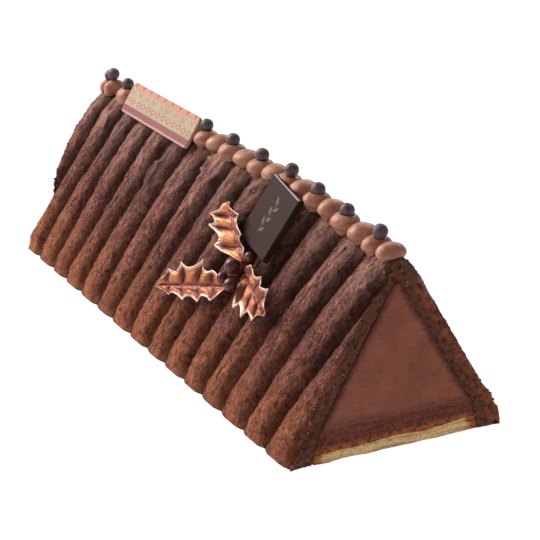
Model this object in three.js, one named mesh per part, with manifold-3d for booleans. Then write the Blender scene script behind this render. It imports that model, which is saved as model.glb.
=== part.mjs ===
// Yule log cake, a tent-shaped "buche" cut square at both ends.
//
// A chocolate mousse core stands on a dark biscuit layer and a pale sponge sheet. One sheet of cocoa
// biscuit, piped in fingers that lie side by side, is folded over the core as a jacket. Piped cream
// balls run along the ridge, most second ones topped with a crunchy pearl. A greeting plaque and a
// chocolate tile lean on the left slope, with a holly sprig of three leaves and four berries.
//
// Frame, in millimetres: X along the ridge with the shown cut end at +X, -Y towards the decorated
// slope, +Z up, origin in the middle of the flat base.

import * as THREE from 'three';
import { mergeVertices } from 'three/addons/utils/BufferGeometryUtils.js';
import Module from 'manifold-3d';

const wasm = await Module();
wasm.setup();

// ---- Driving dimensions ----

const LENGTH = 280.2; // from the shown end to the far cut
const CORE_LENGTH = 277.2; // of the mousse and the layers, from the shown end
const SLOPE = THREE.MathUtils.degToRad(59.3); // each side of the tent, above the table
const RIDGE_AXIS = 64.5; // height of the axis that the ridge is rounded about
const RIDGE_SAG = 5.0; // how much lower the ridge lies at the shown end
const SAG_RUN = 80; // length over which it comes down
const FAR_SAG = 1.2; // how much it drops again towards the far end
const GAP = 0.3; // clearance between pieces that touch

const FINGER_PITCH = 18.7; // width of one biscuit finger
const FINGER_DEPTH = 3.4; // height of a finger above its grooves
const FINGER_LEAN = 24; // how far the front finger runs forward from its foot to the ridge
const FAR_LEAN = 19.5; // the same for the last finger
const LEAN_POWER = 1.35; // steeper at the foot than at the ridge
const RIGHT_LEAN = 6.5; // how far a finger runs on, once it is over the ridge
const GROOVE_RADIUS = 3.5; // rounding of the grooved surface at the ridge
const RIDGE_DEPTH = 0.65; // share of the finger's height that is left where it bends over the ridge
const RIDGE_BEND = 12; // length of sheet on each side of the ridge that the bend flattens
const FOOT = 6.0; // height over which a finger is rounded in at its foot

const CORE_RADIUS = 1.7; // rounding of the mousse at its tip
const CORE_TIP_AXIS = 60.3;
const CORE_BASE = 12.5; // height of the mousse's flat underside
const BASE_HALF_WIDTH = 33.5; // of the sponge sheet, at the table
const SPONGE_HEIGHT = 4.7; // mean height of the pale sponge
const SPONGE_SWELL = 0.7; // how much its top rises and falls

const BALL_COUNT = 22;
const BALL_RADIUS = 5.9; // seen from above
const BALL_RISE = 4.2; // height of its upper half
const BALL_HANG = 2.6; // height of the first ball's lower half, which sags over the ridge
const HANG_GROWTH = 0.05; // each next ball sags lower by this
const BALL_CENTRE = 1.2; // above the ridge
const FAR_BALLS = 3; // the last ones of the row are narrower
const FAR_BALL_WIDTH = 0.86; // than the others by this
const FAR_HANG = 3; // and sag lower still
const BALL_SIDE = 0.3; // they are piped to either side of the ridge by turns
const FIRST_BALL = 5.1; // centre of the first ball, behind the shown end
const BALL_STEP = 10.4; // spacing of the first two balls
const STEP_GROWTH = 0.12; // the row was piped a little wider each time
const LAST_SLIP = 1.2; // the last ball has slipped down to the right by this
const PEARL_RADIUS = 2.9;
const PEARL_CENTRE = 6.5; // above the ridge
const FIRST_HIDDEN_BALL = 14; // balls that the plaque is pressed into carry no pearl
const LAST_HIDDEN_BALL = 18;

const STATIONS_ALONG = 16; // steps along the log where it has no fingers
const OVERLONG = 1.2; // length of what is cut with, against the log's

const CORE_MIDDLE = (LENGTH - CORE_LENGTH) / 2;
const RIDGE_TOP = RIDGE_AXIS + GROOVE_RADIUS + RIDGE_DEPTH * FINGER_DEPTH; // before the sag is added
const SLOPE_RUN = (RIDGE_AXIS + GROOVE_RADIUS * Math.cos(SLOPE)) / Math.sin(SLOPE);
const SHEET = 2 * (SLOPE_RUN + SLOPE * GROOVE_RADIUS); // from one foot over the ridge to the other
const FOOT_Y = GROOVE_RADIUS * Math.sin(SLOPE) + SLOPE_RUN * Math.cos(SLOPE);

// ---- Helpers ----

const smooth = (from, to, v) => THREE.MathUtils.smoothstep(v, from, to);

// Repeatable scatter between -1 and 1 for the n-th of a kind.
function scatter(n, kind) {
  const wave = Math.sin(n * 12.9898 + kind * 78.233) * 43758.5453;
  return 2 * (wave - Math.floor(wave)) - 1;
}

function merged(geometry) {
  geometry.deleteAttribute('normal');
  geometry.deleteAttribute('uv');
  return mergeVertices(geometry, 1e-4);
}

function solidOf(geometry) {
  const closed = merged(geometry);
  return new wasm.Manifold(new wasm.Mesh({
    numProp: 3,
    vertProperties: new Float32Array(closed.attributes.position.array),
    triVerts: new Uint32Array(closed.index.array),
  }));
}

function geometryOf(solid) {
  const mesh = solid.getMesh();
  const geometry = new THREE.BufferGeometry();
  geometry.setAttribute('position', new THREE.BufferAttribute(mesh.vertProperties, 3));
  geometry.setIndex(new THREE.BufferAttribute(mesh.triVerts, 1));
  return geometry;
}

function moveVertices(geometry, place) {
  const position = geometry.attributes.position;
  const point = new THREE.Vector3();
  for (let i = 0; i < position.count; i++) {
    point.fromBufferAttribute(position, i);
    place(point);
    position.setXYZ(i, point.x, point.y, point.z);
  }
  return geometry;
}

// A closed body through rings of points, each ring with as many points as the next.
function loft(rings) {
  const count = rings[0].length;
  const points = rings.flat();
  const index = [];
  for (let r = 0; r + 1 < rings.length; r++) {
    for (let k = 0; k < count; k++) {
      const a = r * count + k;
      const b = r * count + (k + 1) % count;
      index.push(a, b, b + count, a, b + count, a + count);
    }
  }
  const last = (rings.length - 1) * count;
  for (let k = 1; k + 1 < count; k++) {
    index.push(0, k + 1, k);
    index.push(last, last + k, last + k + 1);
  }
  const geometry = new THREE.BufferGeometry().setFromPoints(points);
  geometry.setIndex(index);
  return geometry;
}

// ---- The log's common shape ----

// The ridge comes down towards the shown end. Everything in the log is lower there in proportion.
function raised(x, z) {
  const behind = LENGTH / 2 - x;
  const lift = RIDGE_SAG * smooth(0, SAG_RUN, behind) - FAR_SAG * smooth(SAG_RUN, LENGTH, behind);
  return z * (1 + lift / RIDGE_TOP);
}

// A point of the jacket: way runs from the left foot over the ridge to the right foot, and out is
// the height above the grooved surface.
function sheetPoint(x, way, out) {
  const side = way < SHEET / 2 ? -1 : 1;
  const run = Math.min(way, SHEET - way);
  const foot = smooth(0, FOOT, run);
  const full = GROOVE_RADIUS + out * (0.45 + 0.55 * foot);
  if (run < SLOPE_RUN) {
    const down = SLOPE_RUN - run;
    const settle = (full - GROOVE_RADIUS) * Math.cos(SLOPE) * (1 - foot);
    const y = full * Math.sin(SLOPE) + down * Math.cos(SLOPE);
    const z = RIDGE_AXIS + full * Math.cos(SLOPE) - down * Math.sin(SLOPE) - settle;
    return new THREE.Vector3(x, side * y, raised(x, Math.max(z, 0)));
  }
  const turn = SLOPE - (run - SLOPE_RUN) / GROOVE_RADIUS;
  return new THREE.Vector3(
    x, side * full * Math.sin(turn), raised(x, RIDGE_AXIS + full * Math.cos(turn)));
}

// ---- Cocoa biscuit jacket ----

const FINGERS = 18; // of which the front ones and the last ones are cut away in part
const FINGERS_AT_FOOT = 14.78; // that stand on the table, up to the far cut
const FINGERS_ABOVE = 15.6; // that reach the ridge
const FAR_FROM = 4; // length of sheet over which the far cut crosses the last finger
const FAR_TO = 58;
const RIGHT_FINGERS = 0.85; // that the far cut takes in more, down the right slope
const ACROSS_FINGER = 6; // facets over one finger
const SHEET_INNER = 0.7; // the torn edge runs in to this share of the section
const SWELL = 0.1; // share by which a finger's height comes and goes along it
const FINGER_SCATTER = 0.06; // share by which one finger is higher than another

// Each finger slants forward on its way up the left slope, and runs nearly upright down the right.
function lean(count, way) {
  const half = SHEET / 2;
  const full = THREE.MathUtils.lerp(FINGER_LEAN, FAR_LEAN, count / FINGERS_AT_FOOT);
  if (way < half) return full * (way / half) ** LEAN_POWER;
  return full + RIGHT_LEAN * smooth(half, 1.25 * half, way);
}

// Where the sheet ends at the far end, counted in fingers.
function lastLine(way) {
  const half = SHEET / 2;
  const above = (FINGERS_ABOVE - FINGERS_AT_FOOT) * smooth(FAR_FROM, FAR_TO, way);
  return FINGERS_AT_FOOT + above + RIGHT_FINGERS * smooth(half, 1.5 * half, way);
}

// Where across the log a line lies that runs up the sheet, counted in fingers from the shown end.
function fingerLine(count, way) {
  const drift = 0.07 + 0.06 * Math.cos((count - 2) * 0.66);
  const waver = 0.035 * Math.sin(way / 17 + 2.3 * Math.round(count));
  return LENGTH / 2 - (count + drift + waver) * FINGER_PITCH + lean(count, way);
}

// Height of a finger's crest at some length along the sheet, before its own unevenness.
function crest(way) {
  const bend = smooth(RIDGE_BEND, 0, Math.abs(way - SHEET / 2));
  return FINGER_DEPTH * THREE.MathUtils.lerp(1, RIDGE_DEPTH, bend);
}

function fingerHeight(count, way) {
  const finger = Math.floor(count);
  const across = 2 * (count - finger) - 1;
  const dome = Math.max(0, 1 - across * across) ** 0.8;
  const swell = 1 + SWELL * Math.sin(way / 13 + 1.9 * finger) + FINGER_SCATTER * scatter(finger, 1);
  return crest(way) * dome * swell;
}

// Lengths along the sheet: close together where the foot and the ridge are rounded.
function sheetStations() {
  const slope = [0, 2.2, FOOT, 18, 29, 40, 51, 64, SLOPE_RUN];
  const cap = [0.25, 0.5, 0.75].map((part) => SLOPE_RUN + part * (SHEET - 2 * SLOPE_RUN));
  return [...slope, ...cap, ...slope.map((run) => SHEET - run).reverse()];
}

// The fingered sheet as a solid tent, longer than the log. Past its last line it drops to the inside.
function tent() {
  const stations = sheetStations();
  const rings = [];
  for (let line = -ACROSS_FINGER; line <= FINGERS * ACROSS_FINGER; line++) {
    const count = line / ACROSS_FINGER;
    rings.push(stations.map((way) => {
      const point = sheetPoint(fingerLine(count, way), way, fingerHeight(count, way));
      if (count > lastLine(way)) {
        point.y *= SHEET_INNER;
        point.z *= SHEET_INNER;
      }
      return point;
    }));
  }
  return solidOf(loft(rings));
}

// A smooth tent that just clears the highest crests, for what is piped on the ridge.
function clearTent() {
  const highest = 1 + SWELL + FINGER_SCATTER;
  const rings = [];
  for (let station = 0; station <= STATIONS_ALONG; station++) {
    const x = (0.5 - station / STATIONS_ALONG) * OVERLONG * LENGTH;
    rings.push(sheetStations().map((way) => sheetPoint(x, way, crest(way) * highest + GAP)));
  }
  return solidOf(loft(rings));
}

function block(length, width, height) {
  return solidOf(new THREE.BoxGeometry(length, width, height));
}

// ---- Mousse core and the layers under it ----

// Half the section of the space inside the jacket, from the table up to the tip.
function halfWidthInside(z) {
  const shoulder = (CORE_TIP_AXIS - CORE_BASE) / Math.tan(SLOPE) + CORE_RADIUS / Math.sin(SLOPE);
  return THREE.MathUtils.lerp(BASE_HALF_WIDTH, shoulder, z / CORE_BASE);
}

function coreSection(x, bottom, grow) {
  const right = [];
  const shoulder = Math.max(bottom, CORE_BASE);
  if (bottom < CORE_BASE) right.push([halfWidthInside(bottom) + grow, bottom]);
  right.push([halfWidthInside(CORE_BASE) + grow, shoulder]);
  for (let step = 0; step <= 3; step++) {
    const turn = SLOPE * (1 - step / 3);
    const radius = CORE_RADIUS + grow;
    right.push([radius * Math.sin(turn), CORE_TIP_AXIS + radius * Math.cos(turn)]);
  }
  const left = right.slice(0, -1).reverse().map(([y, z]) => [-y, z]);
  return [...right, ...left].map(([y, z]) => new THREE.Vector3(x, y, raised(x, z)));
}

// The core, or the hollow for it, running on past each end by some share of its length.
function coreBody(beyond, bottom, grow) {
  const rings = [];
  const extra = beyond * STATIONS_ALONG;
  for (let station = -extra; station <= STATIONS_ALONG + extra; station++) {
    const x = CORE_MIDDLE + (station / STATIONS_ALONG - 0.5) * CORE_LENGTH;
    rings.push(coreSection(x, bottom, grow));
  }
  return loft(rings);
}

// The uneven seam between the pale sponge and the dark layer above it.
function seam(x, y) {
  const ripple = Math.sin(y / 4.1 + x / 70) + 0.6 * Math.sin(y / 2.3 - x / 55 + 1.2);
  const tilt = 0.6 * y / BASE_HALF_WIDTH;
  return SPONGE_HEIGHT + 0.5 * SPONGE_SWELL * ripple + tilt;
}

// A flat layer between two heights, its sides following the jacket's inner face.
function layer(bottomAt, topAt) {
  const slab = new THREE.BoxGeometry(CORE_LENGTH, 2, 1, 8, 14, 1);
  slab.translate(CORE_MIDDLE, 0, 0);
  return moveVertices(slab, (p) => {
    const width = BASE_HALF_WIDTH - GAP / 2;
    const z = p.z < 0 ? bottomAt(p.x, p.y * width) : topAt(p.x, p.y * width);
    p.y *= halfWidthInside(z) - GAP / 2;
    p.z = raised(p.x, z);
  });
}

// ---- Things on the left slope ----

// A frame on the left slope: x along the log, run up the slope from the groove line at the foot, and
// height off the grooved surface, all before the sag is added.
function onSlope(x, run, height) {
  const y = -FOOT_Y + run * Math.cos(SLOPE) - height * Math.sin(SLOPE);
  return new THREE.Vector3(x, y, run * Math.sin(SLOPE) + height * Math.cos(SLOPE));
}

const SLOPE_TURN = new THREE.Quaternion().setFromAxisAngle(new THREE.Vector3(1, 0, 0), SLOPE);

// A flat bevelled piece that lies on the slope. Its outer face is at its height, or in front of it.
function flatPiece(piece) {
  const { x, run, height, length, width, thickness, corner, bevel, spin, tip, yaw } = piece;
  const { front = 0 } = piece;
  const shape = new THREE.Shape();
  const [a, b] = [length / 2 - bevel, width / 2 - bevel];
  shape.absarc(a - corner, b - corner, corner, 0, Math.PI / 2);
  shape.absarc(-a + corner, b - corner, corner, Math.PI / 2, Math.PI);
  shape.absarc(-a + corner, -b + corner, corner, Math.PI, 1.5 * Math.PI);
  shape.absarc(a - corner, -b + corner, corner, 1.5 * Math.PI, 2 * Math.PI);
  const geometry = new THREE.ExtrudeGeometry(shape, {
    depth: thickness + front - 2 * bevel, bevelThickness: bevel, bevelSize: bevel,
    bevelSegments: 1, curveSegments: 3,
  });
  geometry.translate(0, 0, bevel - thickness);
  geometry.applyQuaternion(new THREE.Quaternion().setFromEuler(new THREE.Euler(tip, yaw, spin)));
  geometry.applyQuaternion(SLOPE_TURN);
  const place = onSlope(x, run, height);
  return geometry.translate(place.x, place.y, place.z);
}

const degrees = THREE.MathUtils.degToRad;
const TILE = {
  x: LENGTH / 2 - 76.9, run: 72.7, height: 8.1, length: 30.2, width: 27.2, thickness: 2.6,
  corner: 0.6, bevel: 0.7, spin: degrees(-8.2), tip: degrees(-1.7), yaw: degrees(-4.7),
};
const PLAQUE = {
  x: LENGTH / 2 - 200.1, run: 86.3, height: 7.8, length: 77.4, width: 14.6, thickness: 1.5,
  corner: 2.2, bevel: 0.3, spin: degrees(-0.2), tip: degrees(-2), yaw: degrees(-1.6),
};

// What a piece pushes aside: its own size and a gap all round, and whatever would lie in front of it.
const IN_FRONT = 8;
const pushedAside = (piece) => flatPiece({
  ...piece, length: piece.length + 2 * GAP, width: piece.width + 2 * GAP,
  thickness: piece.thickness + GAP, front: IN_FRONT,
});

// ---- Holly sprig ----

const LEAF_THICKNESS = 0.7;
const LEAF_SCOOP = 0.3; // how far the edge runs in between two spines, as a share of the half width
const LEAF_SHOULDER = -0.15; // the same beside the stalk, where the edge swells out
const LEAF_ARCH = 0.02; // rise of the midrib, as a share of its length
const LEAF_ENDS = 0.03; // share of its length that is cut off to blunt the stalk end and the tip

// Where each leaf starts and ends, and its spines from the stalk on. A place is a distance from the
// shown end, a length up the slope and a height above its grooves.
const LEAVES = {
  holly_leaf_upper: {
    base: [-82, 52.5, 5.8], tip: [-107.6, 69.8, 9.5],
    left: [[-103.2, 52.4, 8.5], [-113.9, 57.9, 9.5], [-116.9, 61.9, 9]],
    right: [[-81.5, 57, 8.5], [-84.8, 61.6, 10.5], [-93.7, 67.5, 10.5]],
  },
  holly_leaf_back: {
    base: [-84.5, 41.5, 5.8], tip: [-129.9, 25.3, 10],
    left: [[-87.8, 33.5, 8], [-96.1, 29.9, 8.5], [-106.6, 27, 9], [-118.6, 25.2, 9]],
    right: [[-96.7, 43.6, 8.5], [-102.4, 45.7, 11], [-114.4, 40, 12], [-123.1, 34.7, 11.5]],
  },
  holly_leaf_front: {
    base: [-80.6, 50.2, 5], tip: [-45.6, 41.3, 9.5],
    left: [[-70.9, 53.6, 8.5], [-58.5, 52.5, 10.5], [-49.1, 50.3, 11]],
    right: [[-72, 36, 7.2], [-60.7, 35.4, 9], [-53.1, 36.4, 9]],
  },
};
const BERRIES = {
  berry_top: { at: [-80.6, 49.8, 10.5], radius: 3.4 },
  berry_left: { at: [-85.9, 43.5, 9], radius: 2.6 },
  berry_bottom: { at: [-76.3, 43.3, 10], radius: 3 },
  berry_behind: { at: [-76.8, 55.9, 7.8], radius: 2.2 },
};

const behindShownEnd = ([x, run, height]) => onSlope(LENGTH / 2 + x, run, height);

// A point of a leaf's edge. Its corners are the stalk end, the spines and the tip, with scoops between.
function leafEdge(midrib, corners, along) {
  const place = along * (corners.length - 1);
  const before = Math.min(Math.floor(place), corners.length - 2);
  const share = place - before;
  const inward = (before > 0 ? LEAF_SCOOP : LEAF_SHOULDER) * Math.sin(Math.PI * share);
  return corners[before].clone().lerp(corners[before + 1], share).lerp(midrib, inward);
}

function leaf({ base, tip, left, right }) {
  const from = behindShownEnd(base);
  const to = behindShownEnd(tip);
  const sides = [left, right].map((spines) => [from, ...spines.map(behindShownEnd), to]);
  const off = new THREE.Vector3(0, -Math.sin(SLOPE), Math.cos(SLOPE));
  const rows = 2 * (left.length + 1);
  const rings = [];
  const across = [1, 0.5, 0, -0.5, -1];
  const at = (along, u, face) => {
    const midrib = from.clone().lerp(to, along);
    const arch = LEAF_ARCH * to.distanceTo(from) * Math.sin(Math.PI * along);
    return midrib.lerp(leafEdge(midrib, sides[u > 0 ? 0 : 1], along), Math.abs(u))
      .addScaledVector(off, arch + face * LEAF_THICKNESS / 2);
  };
  for (let row = 0; row <= rows; row++) {
    const along = THREE.MathUtils.clamp(row / rows, LEAF_ENDS, 1 - LEAF_ENDS);
    const over = across.map((u) => at(along, u, 1));
    const under = [...across].reverse().map((u) => at(along, u, -1));
    rings.push([...over, ...under]);
  }
  return leafLoft(rings, across.length);
}

// As loft, but the underside is split into triangles like the top.
function leafLoft(rings, topCount) {
  const count = rings[0].length;
  const index = [];
  for (let r = 0; r + 1 < rings.length; r++) {
    for (let k = 0; k < count; k++) {
      const a = r * count + k;
      const b = r * count + (k + 1) % count;
      if (k < topCount) index.push(a, b, b + count, a, b + count, a + count);
      else index.push(a, b, a + count, b, b + count, a + count);
    }
  }
  const last = (rings.length - 1) * count;
  for (let k = 0; k + 1 < topCount; k++) {
    const below = count - 1 - k;
    index.push(k, below, k + 1, k + 1, below, below - 1);
    index.push(last + k, last + k + 1, last + below, last + k + 1, last + below - 1, last + below);
  }
  const geometry = new THREE.BufferGeometry().setFromPoints(rings.flat());
  geometry.setIndex(index);
  return geometry;
}

function berry({ at, radius }) {
  const centre = behindShownEnd(at);
  return new THREE.SphereGeometry(radius, 10, 7).translate(centre.x, centre.y, centre.z);
}

// ---- Ridge ----

// Unevenness in the spacing, as it was piped: the last three balls are closer together.
const UNEVEN = {
  1: 1.6, 2: 1, 4: -1, 9: 0.8, 11: -0.9, 12: -0.9, 13: 0.9, 19: -2.5, 20: -5.2, 21: 2.7,
};

// How far a pearl sits off the middle of its ball, towards the shown end and up.
const PEARL_OFF = {
  1: [1.7, 0.2], 3: [0.5, -0.8], 5: [0.4, -0.9], 7: [2.4, 0.3], 9: [0.5, 0], 11: [0.3, -0.3],
  13: [0, 0.3], 20: [0, 1.2],
};

function ballX(n) {
  const evenly = LENGTH / 2 - FIRST_BALL - BALL_STEP * n - STEP_GROWTH * n * n;
  return evenly + (UNEVEN[n] ?? 0);
}

const hasPearl = (n) => (n % 2 === 1 || n >= BALL_COUNT - 2)
  && (n < FIRST_HIDDEN_BALL || n > LAST_HIDDEN_BALL);

function ridgePoint(n, side, above) {
  const x = ballX(n);
  const slip = n === BALL_COUNT - 1 ? LAST_SLIP : 0;
  return new THREE.Vector3(
    x, side + slip + 0.3 * scatter(n, 2), raised(x, RIDGE_TOP) + above - slip);
}

function ball(n) {
  const room = Math.min(ballX(n - 1) - ballX(n), ballX(n) - ballX(n + 1));
  const half = Math.min(BALL_RADIUS, (room - GAP) / 2);
  const isFar = n >= BALL_COUNT - FAR_BALLS;
  const wide = (isFar ? FAR_BALL_WIDTH : 1) * BALL_RADIUS * (1 + 0.04 * scatter(n, 4));
  const rise = BALL_RISE * (hasPearl(n) ? 0.93 : 1 + 0.05 * scatter(n, 3));
  const hang = BALL_HANG + HANG_GROWTH * n + (isFar ? FAR_HANG : 0);
  const centre = ridgePoint(n, n % 2 ? -BALL_SIDE : BALL_SIDE, BALL_CENTRE);
  return moveVertices(new THREE.SphereGeometry(1, 12, 8).rotateX(Math.PI / 2), (p) => {
    p.set(half * p.x, wide * p.y, p.z * (p.z < 0 ? hang : rise)).add(centre);
  });
}

function pearl(n, grow) {
  const [along, up] = PEARL_OFF[n] ?? [0, 0];
  const centre = ridgePoint(n, 0.2, PEARL_CENTRE + up);
  return new THREE.SphereGeometry(PEARL_RADIUS + grow, 9, 6)
    .rotateX(Math.PI / 2).translate(centre.x + along, centre.y, centre.z);
}

// ---- Assembly ----

const finish = (color, roughness, metalness = 0) => (
  new THREE.MeshStandardMaterial({ color, roughness, metalness }));
const FINISH = {
  cocoaBiscuit: finish(0x5f3a2e, 0.9),
  mousse: finish(0x70403a, 0.7),
  darkLayer: finish(0x5b2d22, 0.8),
  paleSponge: finish(0xd8c09a, 0.9),
  cream: finish(0xb98a6c, 0.5),
  pearl: finish(0x453438, 0.35),
  whiteChocolate: finish(0xdccfae, 0.4),
  darkChocolate: finish(0x534646, 0.35),
  copperLeaf: finish(0xb86a44, 0.3, 0.7),
  berry: finish(0x3c1c28, 0.2),
};

const cake = new THREE.Group();

function add(name, geometry, material) {
  const mesh = new THREE.Mesh(geometry, material);
  mesh.name = name;
  cake.add(mesh);
}

const tile = flatPiece(TILE);
const plaque = flatPiece(PLAQUE);
const pressed = solidOf(pushedAside(TILE)).add(solidOf(pushedAside(PLAQUE)));

const hollow = solidOf(coreBody(0.5, -FOOT, GAP / 2));
const jacket = tent().intersect(block(LENGTH, LENGTH, LENGTH)).subtract(hollow).subtract(pressed);
add('cocoa_biscuit_jacket', geometryOf(jacket), FINISH.cocoaBiscuit);

add('mousse_core', coreBody(0, CORE_BASE + GAP / 2, -GAP / 2), FINISH.mousse);
add('dark_biscuit_layer',
  layer((x, y) => seam(x, y) + GAP / 2, () => CORE_BASE - GAP / 2), FINISH.darkLayer);
add('pale_sponge_sheet', layer(() => 0, (x, y) => seam(x, y) - GAP / 2), FINISH.paleSponge);

const clearance = clearTent();
for (let n = 0; n < BALL_COUNT; n++) {
  let solid = solidOf(ball(n)).subtract(clearance).subtract(pressed);
  if (hasPearl(n)) {
    solid = solid.subtract(solidOf(pearl(n, GAP)));
    add(`pearl_${n + 1}`, pearl(n, 0), FINISH.pearl);
  }
  add(`ridge_ball_${n + 1}`, geometryOf(solid), FINISH.cream);
}

add('greeting_plaque', plaque, FINISH.whiteChocolate);
add('chocolate_tile', tile, FINISH.darkChocolate);
for (const [name, sizes] of Object.entries(LEAVES)) add(name, leaf(sizes), FINISH.copperLeaf);
for (const [name, sizes] of Object.entries(BERRIES)) add(name, berry(sizes), FINISH.berry);

export default cake;
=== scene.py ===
"""Yule log cake: the finish of every piece of a tent-shaped buche.

Lengths are in millimetres until a piece is finished, and the frame's axes are the cake's own: X along
the ridge with the shown cut end at +X, -Y towards the decorated slope, +Z up.
"""
import math

import bmesh
import bpy
from mathutils import Matrix, Vector, noise


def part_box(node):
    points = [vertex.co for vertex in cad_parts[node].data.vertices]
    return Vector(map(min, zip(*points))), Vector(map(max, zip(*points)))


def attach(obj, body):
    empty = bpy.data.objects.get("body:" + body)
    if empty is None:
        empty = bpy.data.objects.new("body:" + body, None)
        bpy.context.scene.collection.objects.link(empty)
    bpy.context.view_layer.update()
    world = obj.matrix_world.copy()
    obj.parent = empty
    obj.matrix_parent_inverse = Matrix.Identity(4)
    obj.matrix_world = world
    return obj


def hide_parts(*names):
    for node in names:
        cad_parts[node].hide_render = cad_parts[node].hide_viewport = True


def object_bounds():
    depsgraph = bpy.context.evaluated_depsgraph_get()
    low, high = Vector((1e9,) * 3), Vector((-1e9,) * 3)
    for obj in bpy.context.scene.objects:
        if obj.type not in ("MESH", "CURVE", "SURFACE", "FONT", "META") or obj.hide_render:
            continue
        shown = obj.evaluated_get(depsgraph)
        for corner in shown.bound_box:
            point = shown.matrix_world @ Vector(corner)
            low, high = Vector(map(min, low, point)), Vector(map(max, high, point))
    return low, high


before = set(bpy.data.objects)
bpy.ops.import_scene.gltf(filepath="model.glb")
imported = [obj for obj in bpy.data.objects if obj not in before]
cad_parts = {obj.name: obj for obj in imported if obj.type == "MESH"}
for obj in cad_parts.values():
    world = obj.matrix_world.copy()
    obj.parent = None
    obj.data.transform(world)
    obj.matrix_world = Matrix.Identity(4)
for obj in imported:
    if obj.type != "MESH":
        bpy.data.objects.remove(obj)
cad_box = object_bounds()

# ---- The cake's measures ----

MM = 0.001
LENGTH = 280.2
SLOPE = math.radians(59.3)
RIDGE_AXIS = 64.5
RIDGE_SAG = 5.0
SAG_RUN = 80.0
FAR_SAG = 1.2
GAP = 0.3

FINGER_PITCH = 18.7
FINGER_DEPTH = 3.4
FINGER_LEAN = 24.0
FAR_LEAN = 19.5
LEAN_POWER = 1.35
RIGHT_LEAN = 6.5
GROOVE_RADIUS = 3.5
RIDGE_DEPTH = 0.65
RIDGE_BEND = 12.0
FOOT = 6.0
FINGERS_AT_FOOT = 14.78
FINGERS_ABOVE = 15.6
FAR_FROM = 4.0
FAR_TO = 58.0
RIGHT_FINGERS = 0.85
SWELL = 0.1
FINGER_SCATTER = 0.06

CORE_LENGTH = 277.2
CORE_RADIUS = 1.7
CORE_TIP_AXIS = 60.3
CORE_BASE = 12.5
BASE_HALF_WIDTH = 33.5
SPONGE_HEIGHT = 4.7
SPONGE_SWELL = 0.7

BALL_COUNT = 22
BALL_RADIUS = 5.9
BALL_RISE = 4.2
BALL_HANG = 2.6
HANG_GROWTH = 0.05
FAR_BALLS = 3
FAR_BALL_WIDTH = 0.86
FAR_HANG = 3.0
BALL_FOOT = 2.4
BALL_CENTRE = 1.2
BALL_SIDE = 0.3
FIRST_BALL = 5.1
BALL_STEP = 10.4
STEP_GROWTH = 0.12
LAST_SLIP = 1.2
UNEVEN = {
    1: 1.6, 2: 1, 4: -1, 9: 0.8, 11: -0.9, 12: -0.9, 13: 0.9, 19: -2.5, 20: -5.2, 21: 2.7,
}
BALL_BED = 0.5
PEARL_RADIUS = 2.9
PEARL_CLEARANCE = 0.12
HIDDEN_BALLS = range(14, 19)

SHOWN_END = LENGTH / 2
CORE_FAR_END = SHOWN_END - CORE_LENGTH
RIDGE_TOP = RIDGE_AXIS + GROOVE_RADIUS + RIDGE_DEPTH * FINGER_DEPTH
SLOPE_RUN = (RIDGE_AXIS + GROOVE_RADIUS * math.cos(SLOPE)) / math.sin(SLOPE)
SHEET = 2 * (SLOPE_RUN + SLOPE * GROOVE_RADIUS)
FOOT_Y = GROOVE_RADIUS * math.sin(SLOPE) + SLOPE_RUN * math.cos(SLOPE)

OFF_SLOPE = Vector((0, -math.sin(SLOPE), math.cos(SLOPE)))

# Where the middle of a flat piece lies on the slope, its size, its turn in degrees, the radius of its
# corners, and the width and the steps of its bevelled rim.
TILE = {
    "x": SHOWN_END - 76.9, "run": 72.7, "height": 8.1, "size": (30.2, 27.2, 2.6),
    "turn": (-1.7, -4.7, -8.2), "corner": 0.6, "bevel": 0.7, "steps": 4,
}
PLAQUE = {
    "x": SHOWN_END - 200.1, "run": 86.3, "height": 7.8, "size": (77.4, 14.6, 1.5),
    "turn": (-2.0, -1.6, -0.2), "corner": 2.2, "bevel": 0.3, "steps": 2,
}
PRESS_REACH = 8.0


# ---- Small sums ----

def clamp(value, low=0.0, high=1.0):
    return min(max(value, low), high)


def lerp(a, b, share):
    return a + (b - a) * share


def smooth(start, end, value):
    share = clamp((value - start) / (end - start))
    return share * share * (3 - 2 * share)


def scatter(n, kind):
    """Repeatable scatter between -1 and 1 for the n-th of a kind."""
    wave = math.sin(n * 12.9898 + kind * 78.233) * 43758.5453
    return 2 * (wave - math.floor(wave)) - 1


def ripple(point, size, seed=0.0):
    """Smooth noise between about -1 and 1, its lumps about as large as size."""
    return noise.noise(Vector((point[0] / size + seed, point[1] / size, point[2] / size)))


def ripples(point, *layers):
    """Ripples on top of each other, each layer a height, the size of its lumps and a seed."""
    return sum(height * ripple(point, size, seed) for height, size, seed in layers)


def pits(point, spacing, radius):
    """Depth share of round pits: 1 at the middle of a pit and 0 outside it."""
    nearest = noise.voronoi(Vector(point) / spacing)[0][0] * spacing
    return clamp(1 - (nearest / radius) ** 2)


# ---- The log's common shape ----

def raised(x, z):
    """The ridge comes down towards the shown end, and everything in the log in proportion."""
    behind = SHOWN_END - x
    lift = RIDGE_SAG * smooth(0, SAG_RUN, behind) - FAR_SAG * smooth(SAG_RUN, LENGTH, behind)
    return z * (1 + lift / RIDGE_TOP)


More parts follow.
